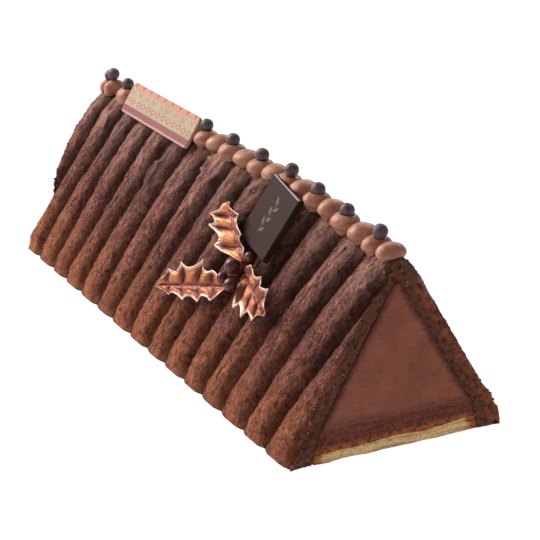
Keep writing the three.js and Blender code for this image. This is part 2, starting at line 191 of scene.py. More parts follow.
def sheet_point(x, way, out):
    """A point of the jacket: way runs from the left foot over the ridge to the right foot."""
    side = -1 if way < SHEET / 2 else 1
    run = min(way, SHEET - way)
    foot = smooth(0, FOOT, run)
    full = GROOVE_RADIUS + out * (0.45 + 0.55 * foot)
    if run < SLOPE_RUN:
        down = SLOPE_RUN - run
        settle = (full - GROOVE_RADIUS) * math.cos(SLOPE) * (1 - foot)
        y = full * math.sin(SLOPE) + down * math.cos(SLOPE)
        z = RIDGE_AXIS + full * math.cos(SLOPE) - down * math.sin(SLOPE) - settle
        return Vector((x, side * y, raised(x, max(z, 0))))
    turn = SLOPE - (run - SLOPE_RUN) / GROOVE_RADIUS
    z = RIDGE_AXIS + full * math.cos(turn)
    return Vector((x, side * full * math.sin(turn), raised(x, z)))


def lean(count, way):
    """How far a finger leans towards the shown end, so far up the sheet."""
    half = SHEET / 2
    full = lerp(FINGER_LEAN, FAR_LEAN, count / FINGERS_AT_FOOT)
    if way < half:
        return full * (way / half) ** LEAN_POWER
    return full + RIGHT_LEAN * smooth(half, 1.25 * half, way)


def last_line(way):
    """Where the sheet ends at the far end, counted in fingers."""
    half = SHEET / 2
    above = (FINGERS_ABOVE - FINGERS_AT_FOOT) * smooth(FAR_FROM, FAR_TO, way)
    return FINGERS_AT_FOOT + above + RIGHT_FINGERS * smooth(half, 1.5 * half, way)


def finger_line(count, way):
    """The x of a line along the sheet, counted in fingers. A whole count is the groove between two."""
    drift = 0.07 + 0.06 * math.cos((count - 2) * 0.66)
    waver = 0.035 * math.sin(way / 17 + 2.3 * math.floor(count + 0.5))
    return SHOWN_END - (count + drift + waver) * FINGER_PITCH + lean(count, way)


def crest(way):
    """How high a finger's crest is over its grooves, which is less at the ridge."""
    bend = smooth(RIDGE_BEND, 0, abs(way - SHEET / 2))
    return FINGER_DEPTH * lerp(1, RIDGE_DEPTH, bend)


def finger_height(count, way):
    """How high the sheet is over its grooves: a row of domes that swell a little along the way."""
    finger = math.floor(count)
    across = 2 * (count - finger) - 1
    dome = max(0.0, 1 - across * across) ** 0.8
    swell = 1 + SWELL * math.sin(way / 13 + 1.9 * finger) + FINGER_SCATTER * scatter(finger, 1)
    return crest(way) * dome * swell


def half_width_inside(z):
    """Half the section of the space inside the jacket."""
    shoulder = (CORE_TIP_AXIS - CORE_BASE) / math.tan(SLOPE) + CORE_RADIUS / math.sin(SLOPE)
    if z < CORE_BASE:
        return lerp(BASE_HALF_WIDTH, shoulder, z / CORE_BASE)
    touch = CORE_TIP_AXIS + CORE_RADIUS * math.cos(SLOPE)
    if z < touch:
        share = (z - CORE_BASE) / (touch - CORE_BASE)
        return lerp(shoulder, CORE_RADIUS * math.sin(SLOPE), share)
    return math.sqrt(max(CORE_RADIUS ** 2 - (z - CORE_TIP_AXIS) ** 2, 0))


def seam(x, y):
    """The uneven seam between the pale sponge and the dark layer above it."""
    wave = math.sin(y / 4.1 + x / 70) + 0.6 * math.sin(y / 2.3 - x / 55 + 1.2)
    return SPONGE_HEIGHT + 0.5 * SPONGE_SWELL * wave + 0.6 * y / BASE_HALF_WIDTH


def on_slope(x, run, height):
    """A point above the left slope: run goes up from the foot, and height is off the grooves."""
    y = -FOOT_Y + run * math.cos(SLOPE) - height * math.sin(SLOPE)
    return Vector((x, y, run * math.sin(SLOPE) + height * math.cos(SLOPE)))


def flat_frame(piece):
    """The matrix of a flat piece on the slope. Its outer face is at the frame's z = 0."""
    tip, yaw, spin = (math.radians(angle) for angle in piece["turn"])
    own = Matrix.Rotation(tip, 4, "X") @ Matrix.Rotation(yaw, 4, "Y") @ Matrix.Rotation(spin, 4, "Z")
    place = Matrix.Translation(on_slope(piece["x"], piece["run"], piece["height"]))
    return place @ Matrix.Rotation(SLOPE, 4, "X") @ own


PRESSED = [(piece, flat_frame(piece)) for piece in (TILE, PLAQUE)]


def pressed_back(point):
    """Moves a point that would stand in the tile or the plaque back behind it."""
    for piece, place in PRESSED:
        length, width, thickness = piece["size"]
        local = place.inverted() @ point
        if abs(local.x) < length / 2 + GAP and abs(local.y) < width / 2 + GAP:
            back = -thickness - GAP
            if back < local.z < thickness + PRESS_REACH:
                local.z = back
                return place @ local
    return point


# ---- Materials ----

def colour(code):
    """A linear colour from an sRGB hex code."""
    parts = (int(code[i:i + 2], 16) / 255 for i in (0, 2, 4))
    linear = [p / 12.92 if p <= 0.04045 else ((p + 0.055) / 1.055) ** 2.4 for p in parts]
    return (*linear, 1)


def add_node(tree, kind, inputs=None, **settings):
    """A node with its settings, and its inputs given as numbers or as other nodes' outputs."""
    made = tree.nodes.new(kind)
    for name, value in settings.items():
        setattr(made, name, value)
    for name, value in (inputs or {}).items():
        if isinstance(value, bpy.types.NodeSocket):
            tree.links.new(value, made.inputs[name])
        else:
            made.inputs[name].default_value = value
    return made


def new_material(name, **shader_inputs):
    """A material, its node tree and its shader, with the shader's constants set."""
    material = bpy.data.materials.new(name)
    material.use_nodes = True
    tree = material.node_tree
    shader = tree.nodes["Principled BSDF"]
    for key, value in shader_inputs.items():
        shader.inputs[key.replace("_", " ")].default_value = value
    return material, tree, shader


def millimetres(tree, stretch=(1, 1, 1)):
    """Object coordinates in millimetres, stretched where a grain is longer one way."""
    place = add_node(tree, "ShaderNodeTexCoord").outputs["Object"]
    scale = tuple(1 / MM / s for s in stretch)
    return add_node(tree, "ShaderNodeMapping", {"Vector": place, "Scale": scale}).outputs["Vector"]


def grain(tree, vector, size, detail=2.0, roughness=0.5):
    """Noise from 0 to 1 with lumps about as large as size, in the vector's units."""
    inputs = {"Vector": vector, "Scale": 1 / size, "Detail": detail, "Roughness": roughness}
    return add_node(tree, "ShaderNodeTexNoise", inputs).outputs["Fac"]


def cells(tree, vector, size):
    """Distance to the nearest of many scattered points, about 0 to 1."""
    inputs = {"Vector": vector, "Scale": 1 / size}
    return add_node(tree, "ShaderNodeTexVoronoi", inputs).outputs["Distance"]


def attribute(tree, name):
    return add_node(tree, "ShaderNodeAttribute", attribute_name=name).outputs["Fac"]


def spread(tree, value, low, high, to_low=0.0, to_high=1.0):
    """Spreads low to high over to_low to to_high, and stops there."""
    inputs = {0: value, 1: low, 2: high, 3: to_low, 4: to_high}
    return add_node(tree, "ShaderNodeMapRange", inputs).outputs[0]


def math_node(tree, operation, a, b=0.0, c=0.0):
    return add_node(tree, "ShaderNodeMath", {0: a, 1: b, 2: c}, operation=operation).outputs[0]


def blend(tree, share, a, b):
    """A colour between a and b."""
    inputs = {0: share, 6: a, 7: b}
    return add_node(tree, "ShaderNodeMix", inputs, data_type="RGBA").outputs[2]


def bump(tree, height, distance, strength=1.0, under=None):
    """A bump of so many millimetres, on top of another one if given."""
    inputs = {"Height": height, "Distance": distance * MM, "Strength": strength}
    if under is not None:
        inputs["Normal"] = under
    return add_node(tree, "ShaderNodeBump", inputs).outputs["Normal"]


def dress(tree, shader, base, normal, rough=None):
    """Gives the shader its colour, its relief and, where it varies, its roughness."""
    tree.links.new(base, shader.inputs["Base Color"])
    tree.links.new(normal, shader.inputs["Normal"])
    if rough is not None:
        tree.links.new(rough, shader.inputs["Roughness"])


def mottled(name, lumps, share, codes, height, rough=None, **shader_inputs):
    """A material of two colours in lumps, which also raise it and, if asked, vary its roughness.

    lumps is a grain's size and whatever else it takes, and share the part of it that is blended.
    """
    material, tree, shader = new_material(name, **shader_inputs)
    shade = grain(tree, millimetres(tree), *lumps)
    dark, light = (colour(code) for code in codes)
    base = blend(tree, spread(tree, shade, *share), dark, light)
    varied = None if rough is None else spread(tree, shade, 0.3, 0.7, *rough)
    dress(tree, shader, base, bump(tree, shade, height), varied)
    return material


def on_the_sheet(tree, width, length):
    """A place on the jacket, counted in widths across the fingers and in lengths along them."""
    across = math_node(tree, "MULTIPLY", attribute(tree, "across"), 1 / width)
    along = math_node(tree, "MULTIPLY", attribute(tree, "along"), 1 / length)
    return add_node(tree, "ShaderNodeCombineXYZ", {0: across, 1: along}).outputs[0]


def biscuit_material():
    """Cocoa biscuit: a dusty, coarsely crumbed skin, redder at the foot, with painted highlights on its
    crests and painted shade on its flanks and in its grooves, and dark crumb where cut.
    """
    material, tree, shader = new_material(
        "cocoa_biscuit", Roughness=0.78, Specular_IOR_Level=0.14, Sheen_Weight=0.03,
        Sheen_Roughness=0.5, Sheen_Tint=colour("f0c4b0"))
    mm = millimetres(tree)
    patches = spread(tree, grain(tree, mm, 9, 3, 0.6), 0.35, 0.68)
    lumps = grain(tree, mm, 2.3, 3, 0.6)
    crumb = grain(tree, mm, 1.1, 4, 0.65)
    streaks = grain(tree, on_the_sheet(tree, 2.6, 8), 1, 3, 0.6)
    pale_lines = grain(tree, on_the_sheet(tree, 0.9, 7), 1, 2)
    specks = spread(tree, grain(tree, mm, 0.9, 2), 0.58, 0.7)
    pores = spread(tree, cells(tree, mm, 1.5), 0.0, 0.4)
    crest_share = attribute(tree, "crest")
    skin = blend(tree, patches, colour("80463a"), colour("b06a56"))
    skin = blend(tree, spread(tree, lumps, 0.3, 0.56), colour("4c221a"), skin)
    skin = blend(tree, spread(tree, streaks, 0.38, 0.58, 0.35, 1), colour("401c15"), skin)
    skin = blend(tree, spread(tree, crumb, 0.36, 0.58, 0.42, 1), colour("2c130e"), skin)
    height = add_node(tree, "ShaderNodeSeparateXYZ", {0: mm}).outputs[2]
    low = math_node(tree, "MULTIPLY", spread(tree, height, 36, 0), spread(tree, lumps, 0.3, 0.52))
    skin = blend(tree, math_node(tree, "MULTIPLY", low, 0.8), skin, colour("a0572f"))
    # A pale dusting on the upper crests, partly a painted highlight.
    crest_dust_and_highlight = math_node(tree, "MULTIPLY", spread(tree, height, 42, 76), spread(tree, streaks, 0.38, 0.62))
    crest_dust_and_highlight = math_node(tree, "MULTIPLY", crest_dust_and_highlight, spread(tree, crest_share, 0.3, 0.62, 0, 0.66))
    skin = blend(tree, crest_dust_and_highlight, skin, colour("be988d"))
    lines = math_node(tree, "MULTIPLY", low, spread(tree, pale_lines, 0.56, 0.68, 0, 0.5))
    skin = blend(tree, lines, skin, colour("c08a5e"))
    # Pale specks on the crests, partly dust and partly a painted highlight.
    speck_dust_and_highlight = math_node(tree, "MULTIPLY", specks, spread(tree, crest_share, 0.2, 0.9, 0.1, 0.7))
    skin = blend(tree, speck_dust_and_highlight, skin, colour("ba8b7a"))
    # Painted shade on the flanks of each finger, stronger higher up.
    painted_flank_shade = spread(tree, crest_share, 0.7, 1.02, 1.0, 0.0)
    painted_flank_shade = math_node(tree, "MULTIPLY", painted_flank_shade, spread(tree, height, 20, 60, 0.46, 0.7))
    skin = blend(tree, painted_flank_shade, skin, colour("2e120d"))
    # Painted shade in the grooves between the fingers.
    skin = blend(tree, spread(tree, crest_share, 0.0, 0.42, 0.7, 0.0), skin, colour("1f0d0a"))
    inside = blend(tree, pores, colour("2e1811"), colour("623829"))
    inside = blend(tree, spread(tree, crumb, 0.58, 0.7, 0, 0.8), inside, colour("9c7a66"))
    rind = math_node(tree, "MULTIPLY", attribute(tree, "rind"), spread(tree, lumps, 0.34, 0.6))
    inside = blend(tree, rind, inside, colour("8a4a33"))
    base = blend(tree, attribute(tree, "cut"), skin, inside)
    relief = bump(tree, lumps, 1.3, 0.8)
    relief = bump(tree, streaks, 0.9, 0.7, relief)
    relief = bump(tree, crumb, 0.7, 0.8, relief)
    relief = bump(tree, pores, 0.3, 0.6, relief)
    dress(tree, shader, base, relief, spread(tree, crumb, 0.35, 0.7, 0.65, 0.88))
    return material


def crumb_material():
    """Loose crumbs of biscuit, some dark and some pale."""
    return mottled(
        "biscuit_crumb", (1.6, 2), (0.36, 0.62), ("4c271c", "b47c58"), 0.3, Roughness=0.85,
        Specular_IOR_Level=0.1)


def mousse_material():
    """Chocolate mousse as a knife leaves it: faint drag lines, small bubbles and crumbs at the rim."""
    material, tree, shader = new_material(
        "chocolate_mousse", Roughness=0.6, Specular_IOR_Level=0.15, Subsurface_Weight=0.08,
        Subsurface_Radius=(0.002, 0.0008, 0.0005))
    mm = millimetres(tree)
    cloud = grain(tree, mm, 14, 3, 0.6)
    fine = grain(tree, mm, 1.4, 4, 0.6)
    lumps = grain(tree, mm, 2.2, 3, 0.6)
    drag = grain(tree, millimetres(tree, (1, 9, 0.7)), 1.2, 3)
    base = blend(tree, spread(tree, cloud, 0.3, 0.7), colour("7e4535"), colour("925642"))
    base = blend(tree, spread(tree, fine, 0.42, 0.7, 0, 0.2), base, colour("75402f"))
    base = blend(tree, spread(tree, drag, 0.5, 0.75, 0, 0.2), base, colour("9a5e4b"))
    rim = math_node(tree, "ADD", attribute(tree, "seam"), spread(tree, lumps, 0.3, 0.7, -0.25, 0.25))
    base = blend(tree, spread(tree, rim, 0.05, 0.95, 0, 0.85), base, colour("4f281e"))
    relief = bump(tree, fine, 0.14)
    relief = bump(tree, drag, 0.08, 0.5, relief)
    dress(tree, shader, base, relief, spread(tree, fine, 0.3, 0.7, 0.5, 0.72))
    return material


def dark_layer_material():
    """Soaked biscuit under the mousse, caramel brown along its lower edge."""
    material, tree, shader = new_material("dark_biscuit", Roughness=0.65, Specular_IOR_Level=0.15)
    mm = millimetres(tree)
    crumb = grain(tree, mm, 1.6, 4, 0.6)
    base = blend(tree, spread(tree, crumb, 0.35, 0.65), colour("52271d"), colour("7a3e2d"))
    edge = math_node(tree, "MULTIPLY", attribute(tree, "seam"), spread(tree, crumb, 0.36, 0.6))
    base = blend(tree, edge, base, colour("b0642f"))
    dress(tree, shader, base, bump(tree, crumb, 0.6), spread(tree, crumb, 0.3, 0.7, 0.5, 0.8))
    return material


def sponge_material():
    """Pale almond sponge with open pores and a thin baked crust."""
    material, tree, shader = new_material(
        "pale_sponge", Roughness=0.85, Specular_IOR_Level=0.2, Subsurface_Weight=0.12,
        Subsurface_Radius=(0.003, 0.0018, 0.0009))
    mm = millimetres(tree)
    crumb = grain(tree, mm, 1.2, 4, 0.6)
    lumps = grain(tree, mm, 2.4, 3, 0.6)
    pores = spread(tree, cells(tree, mm, 1.7), 0.02, 0.3)
    base = blend(tree, spread(tree, crumb, 0.35, 0.65), colour("c69c6c"), colour("e4c292"))
    base = blend(tree, spread(tree, pores, 0, 1, 0.45, 1), colour("bd8a56"), base)
    rim = math_node(tree, "ADD", attribute(tree, "seam"), spread(tree, lumps, 0.3, 0.7, -0.5, 0.5))
    base = blend(tree, spread(tree, rim, 0.25, 0.75), base, colour("a3602f"))
    relief = bump(tree, pores, 0.4, 0.8, bump(tree, crumb, 0.35))
    dress(tree, shader, base, relief)
    return material


def cream_material():
    """Piped praline cream, smooth with a soft shine."""
    material, tree, shader = new_material(
        "praline_cream", Roughness=0.36, Specular_IOR_Level=0.4, Subsurface_Weight=0.12,
        Subsurface_Radius=(0.0025, 0.0013, 0.0008))
    mm = millimetres(tree)
    cloud = grain(tree, mm, 4, 3, 0.6)
    fine = grain(tree, mm, 0.9, 3, 0.6)
    base = blend(tree, spread(tree, cloud, 0.32, 0.68), colour("9a5d48"), colour("be866c"))
    base = blend(tree, spread(tree, fine, 0.55, 0.75, 0, 0.4), base, colour("7b4437"))
    relief = bump(tree, cloud, 0.4, 0.6, bump(tree, fine, 0.12))
    dress(tree, shader, base, relief, spread(tree, fine, 0.3, 0.7, 0.3, 0.48))
    return material


def pearl_material():
    """Crunchy cereal pearl under a thin chocolate glaze."""
    return mottled(
        "crunchy_pearl", (1.3, 3, 0.6), (0.35, 0.65), ("3f2e30", "665052"), 0.25, (0.36, 0.58),
        Specular_IOR_Level=0.5)


def white_chocolate_material():
    """White chocolate, as it shows on the plaque's sides and back."""
    return mottled(
        "white_chocolate", (7, 3), (0.3, 0.7), ("b08c76", "c4a088"), 0.08, Roughness=0.45,
        Specular_IOR_Level=0.3, Subsurface_Weight=0.1, Subsurface_Radius=(0.002, 0.0015, 0.0008))


# The plaque's print, in shares of its width counted from its lower edge.
BORDER_TOP = 0.97
BORDER_DEPTH = 0.36
TRIANGLES = 9
LOZENGES = 13
LOZENGE_LINE = 0.43
LOZENGE_STEEPNESS = 8.0
BAND_LINE = 0.165
BAND_HALF_WIDTH = 0.095
EDGE_WIDTH = 0.035


def plaque_print_material():
    """White chocolate with a printed band, a row of lozenges and a border of hanging triangles."""
    material, tree, shader = new_material(
        "printed_white_chocolate", Roughness=0.5, Specular_IOR_Level=0.2, Subsurface_Weight=0.08,
        Subsurface_Radius=(0.002, 0.0015, 0.0008))
    place = add_node(tree, "ShaderNodeUVMap", uv_map="print").outputs["UV"]
    parts = add_node(tree, "ShaderNodeSeparateXYZ", {0: place})
    along, up = parts.outputs[0], parts.outputs[1]
    mm = millimetres(tree)
    cloud = grain(tree, mm, 6, 3)
    ink = spread(tree, grain(tree, mm, 0.5, 3, 0.6), 0.32, 0.5, 0.55, 1.0)
    base = blend(tree, spread(tree, cloud, 0.3, 0.7), colour("98896e"), colour("a99a7f"))

    def repeated(count):
        """0 in the middle of each of so many equal lengths, and 1 between two of them."""
        share = math_node(tree, "FRACT", math_node(tree, "MULTIPLY", along, count))
        return math_node(tree, "ABSOLUTE", math_node(tree, "MULTIPLY_ADD", share, 2.0, -1.0))

    def from_line(line):
        return math_node(tree, "ABSOLUTE", math_node(tree, "SUBTRACT", up, line))

    def printed(under, value, limit, softness, code):
        """Ink of one colour wherever the value is under its limit."""
        share = spread(tree, value, limit + softness, limit - softness)
        return blend(tree, math_node(tree, "MULTIPLY", share, ink), under, colour(code))

    hang = math_node(tree, "SUBTRACT", BORDER_TOP, up)
    hang = math_node(tree, "MULTIPLY", hang, 1 / BORDER_DEPTH)
    triangle = math_node(tree, "ADD", hang, repeated(TRIANGLES))
    base = printed(base, triangle, 1.05, 0.06, "b0705c")
    base = printed(base, triangle, 0.72, 0.06, "c0a07c")
    base = printed(base, triangle, 0.5, 0.06, "a8544a")
    between = math_node(tree, "SUBTRACT", 1.0, repeated(TRIANGLES))
    base = printed(base, math_node(tree, "ADD", hang, between), 0.42, 0.03, "b88069")
    steep = math_node(tree, "MULTIPLY", from_line(LOZENGE_LINE), LOZENGE_STEEPNESS)
    lozenge = math_node(tree, "ADD", steep, repeated(LOZENGES))
    base = printed(base, lozenge, 0.88, 0.1, "a65c58")
    base = printed(base, lozenge, 0.34, 0.1, "c2ac86")
    base = printed(base, from_line(BAND_LINE), BAND_HALF_WIDTH, 0.012, "82303b")
    base = printed(base, up, EDGE_WIDTH, 0.012, "b9826a")
    dress(tree, shader, base, bump(tree, cloud, 0.06))
    return material


def dark_chocolate_material(name, shine, rough):
    """Dark chocolate, dull on its face and shinier on its rounded upper edge."""
    return mottled(
        name, (8, 4, 0.6), (0.3, 0.7), ("2c1a17", "3b2520"), 0.05, (rough, rough + 0.1),
        Specular_IOR_Level=shine)


def gold_material():
    """Dull gold dust, brushed on."""
    return mottled(
        "gold_dust", (0.4, 2), (0.4, 0.6), ("4a3d28", "6e5d3a"), 0.05, Metallic=0.3, Roughness=0.6)


def leaf_material():
    """Copper-dusted foil holly: golden panels that are partly a painted reflection, dark veins with
    painted shade in their folds, and a pale pink frayed rim that is partly a painted highlight.
    """
    material, tree, shader = new_material(
        "copper_leaf", Metallic=0.45, Roughness=0.36, Specular_IOR_Level=0.45)
    mm = millimetres(tree)
    cloud = grain(tree, mm, 3.2, 3, 0.6)
    fine = grain(tree, mm, 0.7, 3, 0.6)
    base = blend(tree, spread(tree, cloud, 0.3, 0.7), colour("74301f"), colour("9a4c30"))
    # Golden panels, partly the leaf's gold and partly a painted reflection.
    base = blend(tree, attribute(tree, "gold_and_reflection"), base, colour("c47c45"))
    base = blend(tree, spread(tree, fine, 0.5, 0.7, 0, 0.15), base, colour("d89a78"))
    # Dark veins, with painted shade where they lie in the folds.
    base = blend(tree, attribute(tree, "vein_and_crease_shade"), base, colour("2c0f0b"))
    # A pale pink rim, partly a paler frayed edge and partly a painted highlight.
    rim = math_node(tree, "MULTIPLY", attribute(tree, "rim"), spread(tree, fine, 0.3, 0.55))
    base = blend(tree, rim, base, colour("eac6b8"))
    dress(tree, shader, base, bump(tree, fine, 0.14), spread(tree, fine, 0.3, 0.7, 0.3, 0.5))
    return material


def berry_material(name, dark, light):
    """A glossy glazed berry."""
    return mottled(
        name, (2.2, 3, 0.6), (0.3, 0.7), (dark, light), 0.2, (0.2, 0.36),
        Specular_IOR_Level=0.38, Coat_Weight=0.2, Coat_Roughness=0.15)


def stem_material():
    """Matt red-brown sugar paste."""
    return mottled(
        "sprig_stem", (0.8, 3), (0.35, 0.65), ("3c160f", "702f1e"), 0.15, Roughness=0.85,
        Specular_IOR_Level=0.08)


# ---- Making and finishing a piece ----

def finish(bm, name, materials, replaces=(), smooth_shaded=True):
    """Turns a bmesh in millimetres into a piece in metres that rides on the cake."""
    bmesh.ops.scale(bm, vec=(MM, MM, MM), verts=bm.verts)
    mesh = bpy.data.meshes.new(name)
    bm.to_mesh(mesh)
    bm.free()
    for face in mesh.polygons:
        face.use_smooth = smooth_shaded
    for material in materials:
        mesh.materials.append(material)
    piece = bpy.data.objects.new(name, mesh)
    bpy.context.scene.collection.objects.link(piece)
    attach(piece, "root")
    if replaces:
        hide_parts(*replaces)
    return piece


def outward(bm):
    bmesh.ops.recalc_face_normals(bm, faces=bm.faces)


def node_box(name):
    """The low and the high corner of a node's box, in millimetres."""
    return [Vector(corner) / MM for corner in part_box(name)]


def node_middle(name):
    low, high = node_box(name)
    return (low + high) / 2


# ---- Cocoa biscuit jacket ----

STEPS_PER_FINGER = 23
OUTER_STEPS = 200
FIRST_COUNT = -0.55
CUT_COUNT = 1.65
LAST_COUNT = 16.95
INNER_STOPS = (1.0, 0.825, 0.65, 0.5, 0.35, 0.175, 0.0)
LIP = 1.6
LIP_DEPTH = 2.2
GROOVE_CUT = 1.2
CREASE_DEPTH = 1.9
CREASE_FROM = 0.6
SKIN_LUMPS = ((0.45, 7.5, 0), (0.38, 3.4, 7), (0.42, 1.9, 3), (0.2, 1.0, 9))
SKIN_SINK = 0.25
RIND = 0.14
RIGHT_RIND = 0.4
RIND_BLUR = 0.1
CUT_BLUR = 1.4
MERGED_WITHIN = 0.02

# A second, broken finger top beside the eleventh finger, a burst bubble and a swelling at the apex.
BROKEN_TOP = {"count": 10.78, "way": 66.0, "length": 15.0, "width": 0.3, "height": 1.9}
BURST = {"count": 8.78, "way": 74.0, "radius": 2.6, "rim": 2.0, "rim_width": 1.3, "depth": 2.4}
SHOULDER = {"way": SHEET / 2 + 3.5, "spread": 7.0, "run": 13.0, "height": 1.6}


def inner_point(x, way, lip=0.0):
    """A point of the jacket's inner face, or of the lip of crumb that hangs over the core's face."""
    side = -1 if way < SHEET / 2 else 1
    tip = CORE_TIP_AXIS + CORE_RADIUS + GAP / 2
    z = tip * min(way, SHEET - way) / (SHEET / 2)
    half = half_width_inside(z) + GAP / 2
    if z > tip - 0.01:
        half = 0
    return Vector((x, side * max(half - lip, 0), raised(x, z)))


def oddities(x, count, way):
    """Height of the few places where the sheet didn't come out as even as the rest."""
    ahead = (way - BROKEN_TOP["way"]) / BROKEN_TOP["length"]
    beside = (count - BROKEN_TOP["count"] - 0.12 * ahead) / BROKEN_TOP["width"]
    broken = smooth(0.0, -0.08, ahead) * smooth(-1.0, -0.5, ahead) * max(0, 1 - beside * beside)
    away = Vector(((count - BURST["count"]) * FINGER_PITCH, way - BURST["way"])).length
    rim = max(0, 1 - abs(away - BURST["radius"]) / BURST["rim_width"])
    burst = BURST["rim"] * rim - BURST["depth"] * smooth(BURST["radius"] - 0.3, 0.6, away)
    beyond = (way - SHOULDER["way"]) / SHOULDER["spread"]
    shoulder = math.exp(-beyond * beyond) * smooth(SHOULDER["run"], 0, SHOWN_END - x)
    return BROKEN_TOP["height"] * broken + burst + SHOULDER["height"] * shoulder


def skin_relief(point, count, way):
    """How far the biscuit's skin stands out or in, on top of the finger's own form."""
    streak = ripple((point.x / 0.9 + count, way / 4.5, 0), 1.0, 5)
    low = smooth(34, 8, point.z)
    across = abs(2 * (count - math.floor(count)) - 1)
    off_ridge = smooth(2, RIDGE_BEND, abs(way - SHEET / 2))
    crease = CREASE_DEPTH * smooth(CREASE_FROM, 1.0, across) * off_ridge
    bumps = ripples(point, *SKIN_LUMPS) + 0.2 * low * streak - 0.6 * pits(point, 8, 1.1)
    off_foot = smooth(0, FOOT, min(way, SHEET - way))
    relief = (bumps - crease) * lerp(0.35, 1, off_foot)
    return relief - SKIN_SINK + oddities(point.x, count, way)


def crumb_relief(point):
    """Depth of the torn, open crumb where the biscuit is cut."""
    lumps = 0.5 + 0.5 * ripple(point, 2.6, 2)
    return 1.1 * lumps + 1.3 * pits(point, 3.0, 1.3) + 0.5 * abs(ripple(point, 1.2, 4))


def in_the_box(point):
    """Keeps the skin's lumps within the cake's measured width."""
    low, high = (corner[1] / MM for corner in cad_box)
    point.y = clamp(point.y, low, high)
    return point


def jacket_point(count, way):
    """A point of the jacket's outside or of its two end walls.

    With it come how far it is cut crumb, how high it lies on its finger, and how far it is rind.
    """
    ragged = 0.03 * noise.noise(Vector((way / 2.2, 0, 4)))
    ragged += 0.015 * noise.noise(Vector((way, 3, 4)))
    last = last_line(way) + ragged
    held = min(count, last)
    x = finger_line(held, way)
    height = finger_height(held, way)
    outer = sheet_point(x, way, height)
    outer = sheet_point(x, way, max(height + skin_relief(outer, held, way), -GROOVE_CUT))
    past_far = max((count - last) * FINGER_PITCH, -SHOWN_END - x)
    past_shown = x - SHOWN_END
    past = max(past_far, past_shown, 0)
    share = height / crest(way)
    if past <= 0:
        return in_the_box(pressed_back(outer)), 0.0, share, 0.0
    shown = past_shown > past_far
    x = clamp(x, -SHOWN_END, SHOWN_END)
    relief = skin_relief(Vector((x, outer.y, outer.z)), held, way)
    outer = in_the_box(sheet_point(x, way, height + (0.8 if shown else 0.5) * relief))
    inner = inner_point(x, way, LIP if shown else 0.0)
    depth = (outer - inner).length
    into = clamp(past / depth)
    point = outer.lerp(inner, into)
    hollow = crumb_relief(point) * smooth(0, 0.1, into)
    if shown:
        sunk = smooth(depth - 2.2 * LIP, depth, past)
        point.x -= lerp(hollow, LIP_DEPTH - 0.8, sunk)
    else:
        point.x = max(point.x + hollow * smooth(1, 0.9, into), -SHOWN_END)
    baked = RIND if way < SHEET / 2 else RIGHT_RIND
    rind = smooth(baked + RIND_BLUR, baked - RIND_BLUR, into) * smooth(5, 14, abs(way - SHEET / 2))
    return pressed_back(point), smooth(0, CUT_BLUR, past), share, rind


def jacket():
    """A grid wrapped round the sheet: its columns follow the fingers, its rows go outside and back in."""
    fine = round((CUT_COUNT - FIRST_COUNT) * 2 * STEPS_PER_FINGER)
    columns = fine + round((LAST_COUNT - CUT_COUNT) * STEPS_PER_FINGER)
    rows = OUTER_STEPS + len(INNER_STOPS) + 1
    bm = bmesh.new()
    bmesh.ops.create_grid(bm, x_segments=columns, y_segments=rows, size=0.5)
    layers = [bm.verts.layers.float.new(name) for name in ("cut", "crest", "rind")]
    across_layer, along_layer = (bm.verts.layers.float.new(name) for name in ("across", "along"))
    for vert in bm.verts:
        column = (vert.co.x + 0.5) * columns
        count = FIRST_COUNT + column / (2 * STEPS_PER_FINGER)
        if column > fine:
            count = CUT_COUNT + (column - fine) / STEPS_PER_FINGER
        row = round((vert.co.y + 0.5) * rows) % rows
        if row <= OUTER_STEPS:
            way = SHEET * row / OUTER_STEPS
            values = jacket_point(count, way)
        else:
            way = SHEET * INNER_STOPS[row - OUTER_STEPS - 1]
            held = min(count, last_line(way))
            x = clamp(finger_line(held, way), -SHOWN_END, SHOWN_END - LIP_DEPTH)
            values = inner_point(x, way), 1.0, 0.0, 0.0
        vert.co = values[0]
        for layer, value in zip(layers, values[1:]):
            vert[layer] = value
        vert[across_layer] = count * FINGER_PITCH
        vert[along_layer] = way
    bmesh.ops.remove_doubles(bm, verts=bm.verts, dist=MERGED_WITHIN)
    bmesh.ops.holes_fill(bm, edges=[edge for edge in bm.edges if edge.is_boundary], sides=0)
    outward(bm)
    return finish(
        bm, "biscuit_jacket", [biscuit_material()], ["cocoa_biscuit_jacket"])


CRUMB_COUNT = 480
SMALLEST_CRUMB = 0.22
LARGEST_CRUMB = 0.75


def crumb_spot(n):
    """Where a crumb sticks: by turns at the shown cut, at the far cut, at a foot and on a finger."""
    way = SHEET * (0.5 + 0.5 * scatter(n, 11))
    count = FINGERS_AT_FOOT * (0.5 + 0.5 * scatter(n, 12))
    kind = n % 4
    if kind == 2:
        from_foot = 3 + 3 * scatter(n, 13)
        way = from_foot if n % 8 == 2 else SHEET - from_foot
    elif kind < 2:
        target = 1.2 - SHOWN_END if kind else SHOWN_END - 1.2
        for _ in range(4):
            count += (finger_line(count, way) - target) / FINGER_PITCH
    return jacket_point(count, way)[0]


def crumbs():
    """Loose crumbs of biscuit on the jacket, joined into one piece."""
    bm = bmesh.new()
    for n in range(CRUMB_COUNT):
        size = (0.5 + 0.5 * scatter(n, 14)) ** 2
        radius = lerp(SMALLEST_CRUMB, LARGEST_CRUMB, size)
        spot = crumb_spot(n)
        spot.x = clamp(spot.x, radius - SHOWN_END, SHOWN_END - radius)
        spot.z = max(spot.z, radius)
        for vert in bmesh.ops.create_icosphere(bm, subdivisions=1, radius=radius)["verts"]:
            vert.co = in_the_box(spot + vert.co * (0.78 + 0.2 * ripple(vert.co, radius, n)))
    outward(bm)
    return finish(bm, "loose_crumbs", [crumb_material()], smooth_shaded=False)


# ---- Mousse core and the layers under it ----

